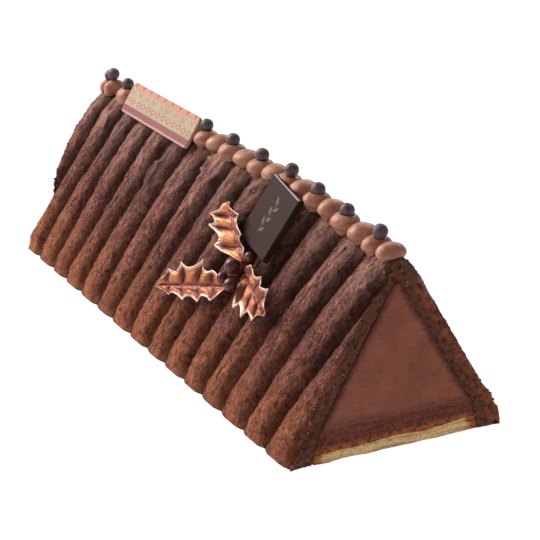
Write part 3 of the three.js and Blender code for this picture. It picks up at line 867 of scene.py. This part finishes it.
CORE_STEPS = 12
CUT_REACH = 20.0
CUT_FULL = 3.0
LENGTHWISE = 9.0
CRUMB_RIM = 3.2
MELT = 4.0
SEAM_DEPTH = 0.2


def near_a_cut(x):
    """1 at either cut of the core, and 0 well inside it."""
    return smooth(CUT_REACH, CUT_FULL, min(abs(SHOWN_END - x), abs(x - CORE_FAR_END)))


def edge_ripples(x, y, *layers):
    """Ripples along the edge of a layer, drawn out along the cake."""
    return ripples((x / LENGTHWISE, y, 0), *layers)


def core_piece(name, node, material, grid, section, relief, rim):
    """Pushes a gridded cut face through the log, and roughens it at both ends.

    The grid's vertices run from -0.5 to 0.5. section turns such a pair into y and z at some x,
    relief says how far the cut is hollowed at a point, and rim how far a place belongs to the rim.
    """
    bm = bmesh.new()
    bmesh.ops.create_grid(bm, x_segments=grid[0], y_segments=grid[1], size=0.5)
    faces = bm.faces[:]
    layer = bm.verts.layers.float.new("seam")
    bmesh.ops.rotate(bm, verts=bm.verts, matrix=Matrix.Rotation(math.pi / 2, 3, "Z"))
    step = CORE_LENGTH / CORE_STEPS
    for _ in range(CORE_STEPS):
        made = bmesh.ops.extrude_face_region(bm, geom=faces)["geom"]
        faces = [item for item in made if isinstance(item, bmesh.types.BMFace)]
        moved = {vert for face in faces for vert in face.verts}
        bmesh.ops.translate(bm, vec=(0, 0, -step), verts=list(moved))
    for vert in bm.verts:
        across, up, depth = -vert.co.x, vert.co.y, vert.co.z
        x = SHOWN_END + depth
        y, z = section(x, across, up)
        vert[layer] = rim(across, up, y, z)
        end = 1 if depth > -step / 2 else -1 if x < CORE_FAR_END + step / 2 else 0
        hollow = relief(Vector((x, y, z)), up) if end else 0
        vert.co = Vector((x - end * hollow, y, raised(x, z)))
    outward(bm)
    return finish(bm, name, [material], [node])


def soft_base(x, y):
    """The mousse's underside, a little uneven where it is cut."""
    return CORE_BASE + near_a_cut(x) * edge_ripples(x, y, (0.5, 7, 5), (0.2, 2.5, 8))


def crumb_at_rim(y, z):
    """Crumbs of biscuit that the knife dragged onto the mousse, close to the jacket."""
    inward = (half_width_inside(z) - abs(y)) * math.sin(SLOPE)
    return max(smooth(CRUMB_RIM, 0, inward), 0.55 * smooth(MELT, 0, z - CORE_BASE))


def mousse():
    """The mousse's cut: drag lines, slow waves, a few bubbles and crumbs along its rim."""
    top = CORE_TIP_AXIS + CORE_RADIUS - GAP / 2

    def section(x, across, up):
        z = lerp(soft_base(x, 2 * across * BASE_HALF_WIDTH), top, up + 0.5)
        return 2 * across * max(half_width_inside(z) - GAP / 2, 0.15), z

    def relief(point, up):
        drag = 0.1 * (1 + ripple((point.y / 5, point.z, 0), 1.3))
        wave = 0.12 * (1 + ripple(point, 8, 1))
        bubble = 0.35 * pits(point, 11, 0.9)
        rough = 0.8 * crumb_at_rim(point.y, point.z) * abs(ripple(point, 1.8, 6))
        own = 0.1 + drag + wave + bubble + rough
        return lerp(SEAM_DEPTH, own, smooth(0, 3, point.z - CORE_BASE))

    return core_piece(
        "mousse_block", "mousse_core", mousse_material(), (84, 90), section, relief,
        lambda across, up, y, z: crumb_at_rim(y, z))


def ragged_seam(x, y):
    """The seam as it is where the layers are cut: a slow wave with torn crumbs on it."""
    torn = edge_ripples(x, y, (1.5, 8, 13), (0.9, 2.3, 2), (0.5, 1.0, 6))
    return seam(x, y) + near_a_cut(x) * torn


def ragged_bottom(x, y):
    """The sponge's lower edge, where crumbs have come away from it."""
    return near_a_cut(x) * max(0, 0.25 + edge_ripples(x, y, (0.6, 2.6, 11), (0.3, 1.1, 3)))


def layer_section(low, high):
    """The section of a layer between two edges, each a height at some x and y."""
    def section(x, across, up):
        rough_y = 2 * across * BASE_HALF_WIDTH
        z = lerp(low(x, rough_y), high(x, rough_y), up + 0.5)
        return 2 * across * (half_width_inside(z) - GAP / 2), z
    return section


def dark_layer():
    """The soaked biscuit: its cut is smooth under the mousse and crumbled lower down."""
    section = layer_section(lambda x, y: ragged_seam(x, y) - 0.2, soft_base)

    def relief(point, up):
        melt = smooth(0.5, 0.2, up)
        rough = 0.175 * (1 + ripple(point, 2.2, 3)) + 0.5 * pits(point, 3.2, 0.8)
        return SEAM_DEPTH * (1 - smooth(0.0, -0.5, up)) + rough * melt

    return core_piece(
        "dark_biscuit", "dark_biscuit_layer", dark_layer_material(), (130, 14),
        section, relief, lambda across, up, y, z: smooth(-0.1, -0.5, up))


def sponge():
    """The sponge: an open crumb where it is cut, between a baked top, bottom and sides."""
    section = layer_section(ragged_bottom, lambda x, y: ragged_seam(x, y) - 0.1)

    def relief(point, up):
        return 0.15 + 0.2 * (1 + ripple(point, 1.8, 8)) + 0.8 * pits(point, 2.4, 0.85)

    def crust(across, up, y, z):
        top = smooth(0.26, 0.5, up)
        bottom = 0.6 * smooth(-0.36, -0.5, up)
        return max(top, bottom, smooth(0.44, 0.5, abs(across)))

    return core_piece(
        "pale_sponge", "pale_sponge_sheet", sponge_material(), (130, 12),
        section, relief, crust)


# ---- Ridge: piped balls and pearls ----

def ball_x(n):
    return SHOWN_END - FIRST_BALL - BALL_STEP * n - STEP_GROWTH * n * n + UNEVEN.get(n, 0)


def has_pearl(n):
    """Every second ball has a pearl, and so do the last two, but none behind the plaque."""
    return (n % 2 == 1 or n >= BALL_COUNT - 2) and n not in HIDDEN_BALLS


def ball_centre(n):
    """Balls stand a little to the left and right of the ridge by turns. The last has slipped off it."""
    x = ball_x(n)
    side = (-BALL_SIDE if n % 2 else BALL_SIDE) + 0.3 * scatter(n, 2)
    slip = LAST_SLIP if n == BALL_COUNT - 1 else 0
    return Vector((x, side + slip, raised(x, RIDGE_TOP) + BALL_CENTRE - slip))


def ball_reach(n):
    """How far a ball reaches from its centre along the ridge, across it, up and down."""
    room = min(ball_x(n - 1) - ball_x(n), ball_x(n) - ball_x(n + 1))
    far = n >= BALL_COUNT - FAR_BALLS
    along = min(BALL_RADIUS, (room - GAP) / 2) + 0.1
    across = (FAR_BALL_WIDTH if far else 1) * BALL_RADIUS * (1 + 0.04 * scatter(n, 4))
    up = BALL_RISE * (0.93 if has_pearl(n) else 1 + 0.05 * scatter(n, 3))
    down = BALL_HANG + HANG_GROWTH * n + (FAR_HANG if far else 0)
    return along, across, up, down


def saddle(x, y):
    """Height of the jacket's crests over the ridge, at some y."""
    full = GROOVE_RADIUS + RIDGE_DEPTH * FINGER_DEPTH
    flat = full * math.sin(SLOPE)
    if abs(y) < flat:
        return raised(x, RIDGE_AXIS + math.sqrt(full * full - y * y))
    return raised(x, RIDGE_AXIS + full * math.cos(SLOPE) - (abs(y) - flat) * math.tan(SLOPE))


def ridge_ball(n, material):
    """A ball of cream, saddled over the ridge and pushed in where a pearl or the plaque sits."""
    centre = ball_centre(n)
    along, across, up, down = ball_reach(n)
    pearl_middle = node_middle(f"pearl_{n + 1}") if has_pearl(n) else None
    clear = PEARL_RADIUS + PEARL_CLEARANCE
    bm = bmesh.new()
    bmesh.ops.create_uvsphere(bm, u_segments=44, v_segments=30, radius=1)
    for vert in bm.verts:
        unit = vert.co.copy()
        swell = 0.98 + ripples(unit, (0.05, 0.8, 3 * n), (0.015, 0.25, n))
        tall = up if unit.z > 0 else down
        point = centre + Vector((unit.x * along, unit.y * across, unit.z * tall)) * swell
        if pearl_middle is not None:
            away = point - pearl_middle
            if away.length < clear:
                point = pearl_middle + away.normalized() * clear
        settled = BALL_FOOT * smooth(-0.6, -0.95, unit.z)
        sunk = saddle(point.x, point.y) - BALL_BED - settled
        point.z = max(point.z - settled, sunk)
        vert.co = pressed_back(point)
    outward(bm)
    return finish(bm, f"cream_ball_{n + 1}", [material], [f"ridge_ball_{n + 1}"])


def pearl(n, material):
    """A slightly lumpy pearl in the middle of its node's box."""
    centre = node_middle(f"pearl_{n + 1}")
    bm = bmesh.new()
    bmesh.ops.create_icosphere(bm, subdivisions=4, radius=1)
    for vert in bm.verts:
        lump = 0.965 + ripples(vert.co, (0.025, 0.7, 5 * n), (0.01, 0.25, n))
        vert.co = centre + vert.co * PEARL_RADIUS * lump
    return finish(bm, f"crunchy_pearl_{n + 1}", [material], [f"pearl_{n + 1}"])


def ridge():
    cream = cream_material()
    glaze = pearl_material()
    for n in range(BALL_COUNT):
        ridge_ball(n, cream)
        if has_pearl(n):
            pearl(n, glaze)


# ---- Plaque and tile ----

CORNER_STEPS = 4
PLAQUE_SLICE = 3.0
PLAQUE_WARP = 0.12
PLAQUE_WAVER = 0.1


def bevelled(bm, edges, width, steps):
    bmesh.ops.bevel(
        bm, geom=edges, offset=width, offset_type="OFFSET", segments=steps, profile=0.5,
        affect="EDGES", material=-1)


def rounded_plate(piece):
    """A plate with rounded corners and a bevelled rim, its outer face at z = 0."""
    length, width, thickness = piece["size"]
    bm = bmesh.new()
    bmesh.ops.create_cube(bm, size=1)
    bmesh.ops.scale(bm, vec=(length, width, thickness), verts=bm.verts)
    bmesh.ops.translate(bm, vec=(0, 0, -thickness / 2), verts=bm.verts)
    upright = [e for e in bm.edges if abs(e.verts[0].co.z - e.verts[1].co.z) > thickness / 2]
    bevelled(bm, upright, piece["corner"], CORNER_STEPS)
    rim = [e for e in bm.edges if abs(e.verts[0].co.z - e.verts[1].co.z) < 0.01]
    rim = [e for e in rim if any(abs(f.normal.z) < 0.1 for f in e.link_faces)]
    bevelled(bm, rim, piece["bevel"], piece["steps"])
    return bm


def sliced(bm, length, step):
    """Cuts a plate across its length every so often, so that it can be bent."""
    for k in range(1, round(length / step)):
        geom = bm.verts[:] + bm.edges[:] + bm.faces[:]
        place = (k * step - length / 2, 0, 0)
        bmesh.ops.bisect_plane(bm, geom=geom, plane_co=place, plane_no=(1, 0, 0), dist=0.001)


def plaque():
    """A thin printed plate, a little warped, with the print's own map on its outer face."""
    length, width, _ = PLAQUE["size"]
    bm = rounded_plate(PLAQUE)
    print_layer = bm.loops.layers.uv.new("print")
    bm.normal_update()
    for face in bm.faces:
        face.material_index = 1 if face.normal.z > 0.9 else 0
        for loop in face.loops:
            at = loop.vert.co
            loop[print_layer].uv = (at.x / length + 0.5, at.y / width + 0.5)
    sliced(bm, length, PLAQUE_SLICE)
    for vert in bm.verts:
        at = vert.co
        at.z += PLAQUE_WARP * (ripple((at.x, 0, 0), 16, 4) - 1)
        waver = PLAQUE_WAVER * ripple((at.x, at.y, 0), 7, 2)
        at.y = clamp(at.y + waver, -width / 2, width / 2)
    bmesh.ops.transform(bm, matrix=flat_frame(PLAQUE), verts=bm.verts)
    return finish(
        bm, "white_chocolate_plaque", [white_chocolate_material(), plaque_print_material()],
        ["greeting_plaque"], smooth_shaded=False)


def tile():
    """A dull plate whose rounded upper edge shines."""
    bm = rounded_plate(TILE)
    bm.normal_update()
    for face in bm.faces:
        rounded = 0.01 < face.normal.z < 0.99
        face.material_index = 1 if rounded and face.normal.y > 0.1 else 0
    bmesh.ops.transform(bm, matrix=flat_frame(TILE), verts=bm.verts)
    dull = dark_chocolate_material("dark_chocolate", 0.06, 0.46)
    shiny = dark_chocolate_material("dark_chocolate_edge", 0.9, 0.26)
    return finish(
        bm, "dark_tile", [dull, shiny], ["chocolate_tile"],
        smooth_shaded=False)


TWIG_LENGTH = 12.0
TWIG_PETALS = 6
TWIG_TURN = math.radians(78)
LEAFLET = {"ahead": 0.8, "beside": 1.7, "turn": 38, "length": 3.6, "width": 1.3}
STALK = {"turn": 4, "length": 3.0, "width": 0.5}
DUST_THICKNESS = 0.06


def petal(bm, centre, turn, length, width):
    """A flat pointed petal, thin enough to read as brushed dust."""
    made = bmesh.ops.create_circle(bm, cap_ends=True, segments=20, radius=0.5)["verts"]
    for vert in made:
        share = clamp(2 * vert.co.x, -1, 1)
        vert.co.x *= length
        vert.co.y *= width * math.sqrt(1 - share * share)
    bmesh.ops.rotate(bm, verts=made, matrix=Matrix.Rotation(math.radians(turn), 3, "Z"))
    bmesh.ops.translate(bm, vec=(*centre, 0), verts=made)


def flourish():
    """A plain twig of gold dust in the middle of the tile: a row of petals, left and right by turns."""
    bm = bmesh.new()
    for k in range(TWIG_PETALS):
        along = lerp(-TWIG_LENGTH / 2, TWIG_LENGTH / 2, k / (TWIG_PETALS - 1))
        side = 1 if k % 2 else -1
        centre = (along + LEAFLET["ahead"], side * LEAFLET["beside"])
        petal(bm, centre, side * LEAFLET["turn"], LEAFLET["length"], LEAFLET["width"])
        petal(bm, (along, 0), side * STALK["turn"], STALK["length"], STALK["width"])
    bmesh.ops.rotate(bm, verts=bm.verts, matrix=Matrix.Rotation(TWIG_TURN, 3, "Z"))
    bmesh.ops.translate(bm, vec=(0, 0, DUST_THICKNESS / 2), verts=bm.verts)
    made = bmesh.ops.extrude_face_region(bm, geom=bm.faces[:])["geom"]
    verts = [item for item in made if isinstance(item, bmesh.types.BMVert)]
    bmesh.ops.translate(bm, vec=(0, 0, -DUST_THICKNESS), verts=verts)
    bmesh.ops.transform(bm, matrix=flat_frame(TILE), verts=bm.verts)
    outward(bm)
    return finish(
        bm, "gold_flourish", [gold_material()], smooth_shaded=False)


# ---- Holly sprig ----

LEAF_THICKNESS = 0.45
LEAF_SCOOP = 0.3
LEAF_SHOULDER = -0.15
LEAF_ARCH = 0.02
LEAF_FOLD = 1.5
LEAF_CUP = 0.1
LEAF_VALLEY = 0.5
LEAF_CURL = 0.7
LEAF_ROWS = 120
LEAF_COLUMNS = 30

# Each leaf's stalk end and tip, and its spines from the stalk on. A place is a distance from the
# shown end, a length up the slope and a height above its grooves. The last entry says how golden the
# left and the right half are between their folds: partly the leaf's gold, partly a painted reflection.
LEAVES = {
    "upper": {
        "base": (-82, 52.5, 5.8), "tip": (-107.6, 69.8, 9.5),
        "left": ((-103.2, 52.4, 8.5), (-113.9, 57.9, 9.5), (-116.9, 61.9, 9)),
        "right": ((-81.5, 57, 8.5), (-84.8, 61.6, 10.5), (-93.7, 67.5, 10.5)),
        "gold_and_reflection": (1.0, 0.25),
    },
    "back": {
        "base": (-84.5, 41.5, 5.8), "tip": (-129.9, 25.3, 10),
        "left": ((-87.8, 33.5, 8), (-96.1, 29.9, 8.5), (-106.6, 27, 9), (-118.6, 25.2, 9)),
        "right": ((-96.7, 43.6, 8.5), (-102.4, 45.7, 11), (-114.4, 40, 12), (-123.1, 34.7, 11.5)),
        "gold_and_reflection": (0.3, 0.75),
    },
    "front": {
        "base": (-80.6, 50.2, 5), "tip": (-45.6, 41.3, 9.5),
        "left": ((-70.9, 53.6, 8.5), (-58.5, 52.5, 10.5), (-49.1, 50.3, 11)),
        "right": ((-72, 36, 7.2), (-60.7, 35.4, 9), (-53.1, 36.4, 9)),
        "gold_and_reflection": (0.15, 0.5),
    },
}


def behind_shown_end(place):
    x, run, height = place
    return on_slope(SHOWN_END + x, run, height)


def leaf_edge(midrib, corners, along):
    """A point of a leaf's edge, and where it lies between two of the leaf's corners."""
    place = along * (len(corners) - 1)
    before = min(math.floor(place), len(corners) - 2)
    share = place - before
    inward = (LEAF_SCOOP if before else LEAF_SHOULDER) * math.sin(math.pi * share) ** 0.8
    return corners[before].lerp(corners[before + 1], share).lerp(midrib, inward), share


def leaf_relief(u, along, half, panel, seed):
    """How far a leaf stands off its plane: raised panels, a cupped half, a valley and a curled rim.

    u runs from 1 at the left edge to -1 at the right one, and half is the leaf's half width there.
    """
    out = abs(u)
    fold = LEAF_FOLD * panel * math.sin(math.pi * min(out, 0.97)) ** 0.7
    valley = -LEAF_CUP * half * math.sin(math.pi * out) - LEAF_VALLEY * smooth(0.12, 0.0, out)
    curl = LEAF_CURL * smooth(0.8, 1.0, out) * (0.4 + ripple((along * 30, u, 0), 3, seed))
    wobble = 0.5 * noise.noise(Vector((u * 2, along * 8, seed)))
    wobble += 0.3 * noise.noise(Vector((u * 5, along * 22, seed)))
    ends = smooth(0, 0.1, along) * smooth(1, 0.9, along)
    return ends * (fold + valley + curl + wobble)


def leaf(name, material):
    """A leaf as a grid between its two spiny edges, with attributes for its veins with painted shade in
    the folds, its rim with a painted highlight, and its gold with a painted reflection.
    """
    sizes = LEAVES[name]
    seed = len(name)
    start, tip = (behind_shown_end(sizes[end]) for end in ("base", "tip"))
    sides = [[start, *(behind_shown_end(spine) for spine in sizes[side]), tip]
             for side in ("left", "right")]
    bm = bmesh.new()
    bmesh.ops.create_grid(bm, x_segments=LEAF_COLUMNS, y_segments=LEAF_ROWS, size=0.5)
    vein_and_crease_shade, rim, gold_and_reflection = (bm.verts.layers.float.new(kind) for kind in ("vein_and_crease_shade", "rim", "gold_and_reflection"))
    for vert in bm.verts:
        u = -2 * vert.co.x
        out = abs(u)
        along = lerp(0.01, 0.99, vert.co.y + 0.5)
        side = 0 if u > 0 else 1
        midrib = start.lerp(tip, along)
        midrib += OFF_SLOPE * (LEAF_ARCH * (tip - start).length * math.sin(math.pi * along))
        edge, share = leaf_edge(midrib, sides[side], along)
        share = clamp(share + 0.22 * (1 - out) * ripple((along * 9, u, 0), 1.0, seed))
        panel = math.sin(math.pi * share) ** 0.8
        relief = leaf_relief(u, along, (edge - midrib).length, panel, seed)
        vert.co = midrib.lerp(edge, out) + OFF_SLOPE * relief
        # Veins along the midrib and the folds, darkened with painted shade where the leaf creases.
        side_vein_shade = smooth(0.36, 0.05, panel) * smooth(0.0, 0.2, out) * smooth(1.0, 0.8, out)
        vert[vein_and_crease_shade] = max(0.8 * smooth(0.08, 0.02, out), 0.95 * side_vein_shade)
        # How golden a panel is: partly gold colour, partly a painted reflection.
        vert[gold_and_reflection] = sizes["gold_and_reflection"][side] * smooth(0.5, 0.9, panel) * smooth(0.06, 0.25, out)
        # Where the pale rim starts: a ragged edge band, partly a painted highlight.
        ragged_rim_start = 0.84 + 0.1 * ripple((along * 14, u, 0), 1.0, 2 * seed)
        vert[rim] = smooth(ragged_rim_start - 0.04, ragged_rim_start + 0.06, out)
    outward(bm)
    bmesh.ops.solidify(bm, geom=bm.faces[:], thickness=LEAF_THICKNESS)
    outward(bm)
    return finish(bm, f"holly_{name}", [material], [f"holly_leaf_{name}"])


BERRIES = ("berry_top", "berry_left", "berry_bottom")
BUD = "berry_behind"
BERRY_TILT = Vector((0.3, -0.2, -0.3))
DIMPLE_DEPTH = 0.16
DIMPLE_RADIUS = 0.28


def berry(name, material):
    """A berry in the middle of its node's box, with a dimple on its outer side."""
    low, high = node_box(name)
    centre = (low + high) / 2
    radius = (high.z - low.z) / 2
    bm = bmesh.new()
    bmesh.ops.create_uvsphere(bm, u_segments=40, v_segments=28, radius=1)
    tilt = Vector((0, 0, 1)).rotation_difference(OFF_SLOPE + BERRY_TILT)
    for vert in bm.verts:
        dimple = DIMPLE_DEPTH * smooth(DIMPLE_RADIUS, 0.0, vert.co.xy.length)
        if vert.co.z < 0:
            dimple = 0
        lump = 0.97 + 0.025 * ripple(vert.co, 0.8, radius) - dimple
        vert.co = centre + (tilt @ vert.co) * radius * lump
    return finish(bm, f"holly_{name}", [material], [name])


def tube(bm, points, radius):
    """A thin stalk through a few points."""
    curve = bpy.data.curves.new("stalk", "CURVE")
    curve.dimensions = "3D"
    curve.bevel_depth = radius
    curve.bevel_resolution = 3
    curve.use_fill_caps = True
    spline = curve.splines.new("BEZIER")
    spline.bezier_points.add(len(points) - 1)
    for spot, point in zip(spline.bezier_points, points):
        spot.co = point
        spot.handle_left_type = spot.handle_right_type = "AUTO"
    holder = bpy.data.objects.new("stalk", curve)
    bpy.context.scene.collection.objects.link(holder)
    mesh = bpy.data.meshes.new_from_object(
        holder.evaluated_get(bpy.context.evaluated_depsgraph_get()))
    bm.from_mesh(mesh)
    bpy.data.objects.remove(holder)
    bpy.data.curves.remove(curve)
    bpy.data.meshes.remove(mesh)


STEM_ROOT = (-80, 47, 2)
STEM_KNOT = (-80, 48, 6)
STEM_RADIUS = 1.1
LEAF_STALK_RADIUS = 0.55
BERRY_STALK_RADIUS = 0.4


def stem():
    """The sprig's stem and stalks, stuck into the cake under the berries."""
    knot = behind_shown_end(STEM_KNOT)
    bm = bmesh.new()
    tube(bm, [behind_shown_end(STEM_ROOT), knot], STEM_RADIUS)
    for sizes in LEAVES.values():
        base, tip = (behind_shown_end(sizes[end]) for end in ("base", "tip"))
        tube(bm, [knot, knot.lerp(base, 0.6), base + (tip - base) * 0.1], LEAF_STALK_RADIUS)
    for name in (*BERRIES, BUD):
        tube(bm, [knot, node_middle(name)], BERRY_STALK_RADIUS)
    outward(bm)
    return finish(bm, "holly_stem", [stem_material()])


def sprig():
    copper = leaf_material()
    for name in LEAVES:
        leaf(name, copper)
    plum = berry_material("plum_berry", "3c1219", "68282f")
    bud = berry_material("red_brown_bud", "4a1d15", "7c3b29")
    for name in BERRIES:
        berry(name, plum)
    berry(BUD, bud)
    stem()


# ---- Studio ----

CAMERA_AT = (SHOWN_END + 511.94, -294.58, 274.72)
CAMERA_AZIMUTH = math.radians(64.36)
CAMERA_ELEVATION = math.radians(19.357)
CAMERA_ROLL = math.radians(-1.12)
LENS = 121.12

# From here on places and sizes are in metres, and powers in watts.
AIM = (0, 0, 0.04)
KEY = {"place": (-0.82, -0.52, 0.79), "size": 1.0, "power": 24, "tint": (1, 0.95, 0.91)}
RIM = {"place": (-0.75, 0.85, 0.75), "size": 0.8, "power": 5, "tint": (1, 1, 1)}
ROOM_LIGHT = 0.25
TABLE_HALF_SIZE = 4
TABLE_DROP = 0.0002
TABLE_GLOW = 0.98
TABLE_SHADE = 0.1


def camera():
    data = bpy.data.cameras.new("camera")
    data.lens = LENS
    data.sensor_width = 36
    data.clip_start = 0.01
    eye = bpy.data.objects.new("camera", data)
    bpy.context.scene.collection.objects.link(eye)
    turn = Matrix.Rotation(CAMERA_AZIMUTH, 4, "Z")
    tilt = Matrix.Rotation(math.pi / 2 - CAMERA_ELEVATION, 4, "X")
    roll = Matrix.Rotation(CAMERA_ROLL, 4, "Z")
    eye.matrix_world = Matrix.Translation(Vector(CAMERA_AT) * MM) @ turn @ tilt @ roll
    bpy.context.scene.camera = eye


def softbox(name, place, size, power, tint):
    """A square area light that faces the middle of the cake."""
    data = bpy.data.lights.new(name, "AREA")
    data.shape = "SQUARE"
    data.size = size
    data.energy = power
    data.color = tint
    lamp = bpy.data.objects.new(name, data)
    lamp.location = place
    lamp.rotation_euler = (Vector(AIM) - Vector(place)).to_track_quat("-Z", "Y").to_euler()
    bpy.context.scene.collection.objects.link(lamp)


def light_table():
    """A white table that glows evenly, just under the cake."""
    bm = bmesh.new()
    bmesh.ops.create_grid(bm, x_segments=1, y_segments=1, size=TABLE_HALF_SIZE)
    bmesh.ops.translate(bm, vec=(0, 0, -TABLE_DROP), verts=bm.verts)
    mesh = bpy.data.meshes.new("floor")
    bm.to_mesh(mesh)
    bm.free()
    floor = bpy.data.objects.new("floor", mesh)
    bpy.context.scene.collection.objects.link(floor)
    table, _, _ = new_material(
        "light_table", Roughness=0.9, Specular_IOR_Level=0.1, Emission_Strength=TABLE_GLOW,
        Base_Color=(TABLE_SHADE, TABLE_SHADE, TABLE_SHADE, 1), Emission_Color=(1, 1, 1, 1))
    mesh.materials.append(table)


def studio():
    """Even light from all round, a large warm softbox on the left and a small one behind."""
    world = bpy.data.worlds.new("studio")
    world.use_nodes = True
    background = world.node_tree.nodes["Background"]
    background.inputs["Color"].default_value = (1, 1, 1, 1)
    background.inputs["Strength"].default_value = ROOM_LIGHT
    scene = bpy.context.scene
    scene.world = world
    scene.view_settings.view_transform = "Standard"
    scene.view_settings.look = "None"
    softbox("key", **KEY)
    softbox("rim", **RIM)


camera()
light_table()
studio()
jacket()
crumbs()
mousse()
dark_layer()
sponge()
ridge()
plaque()
tile()
flourish()
sprig()
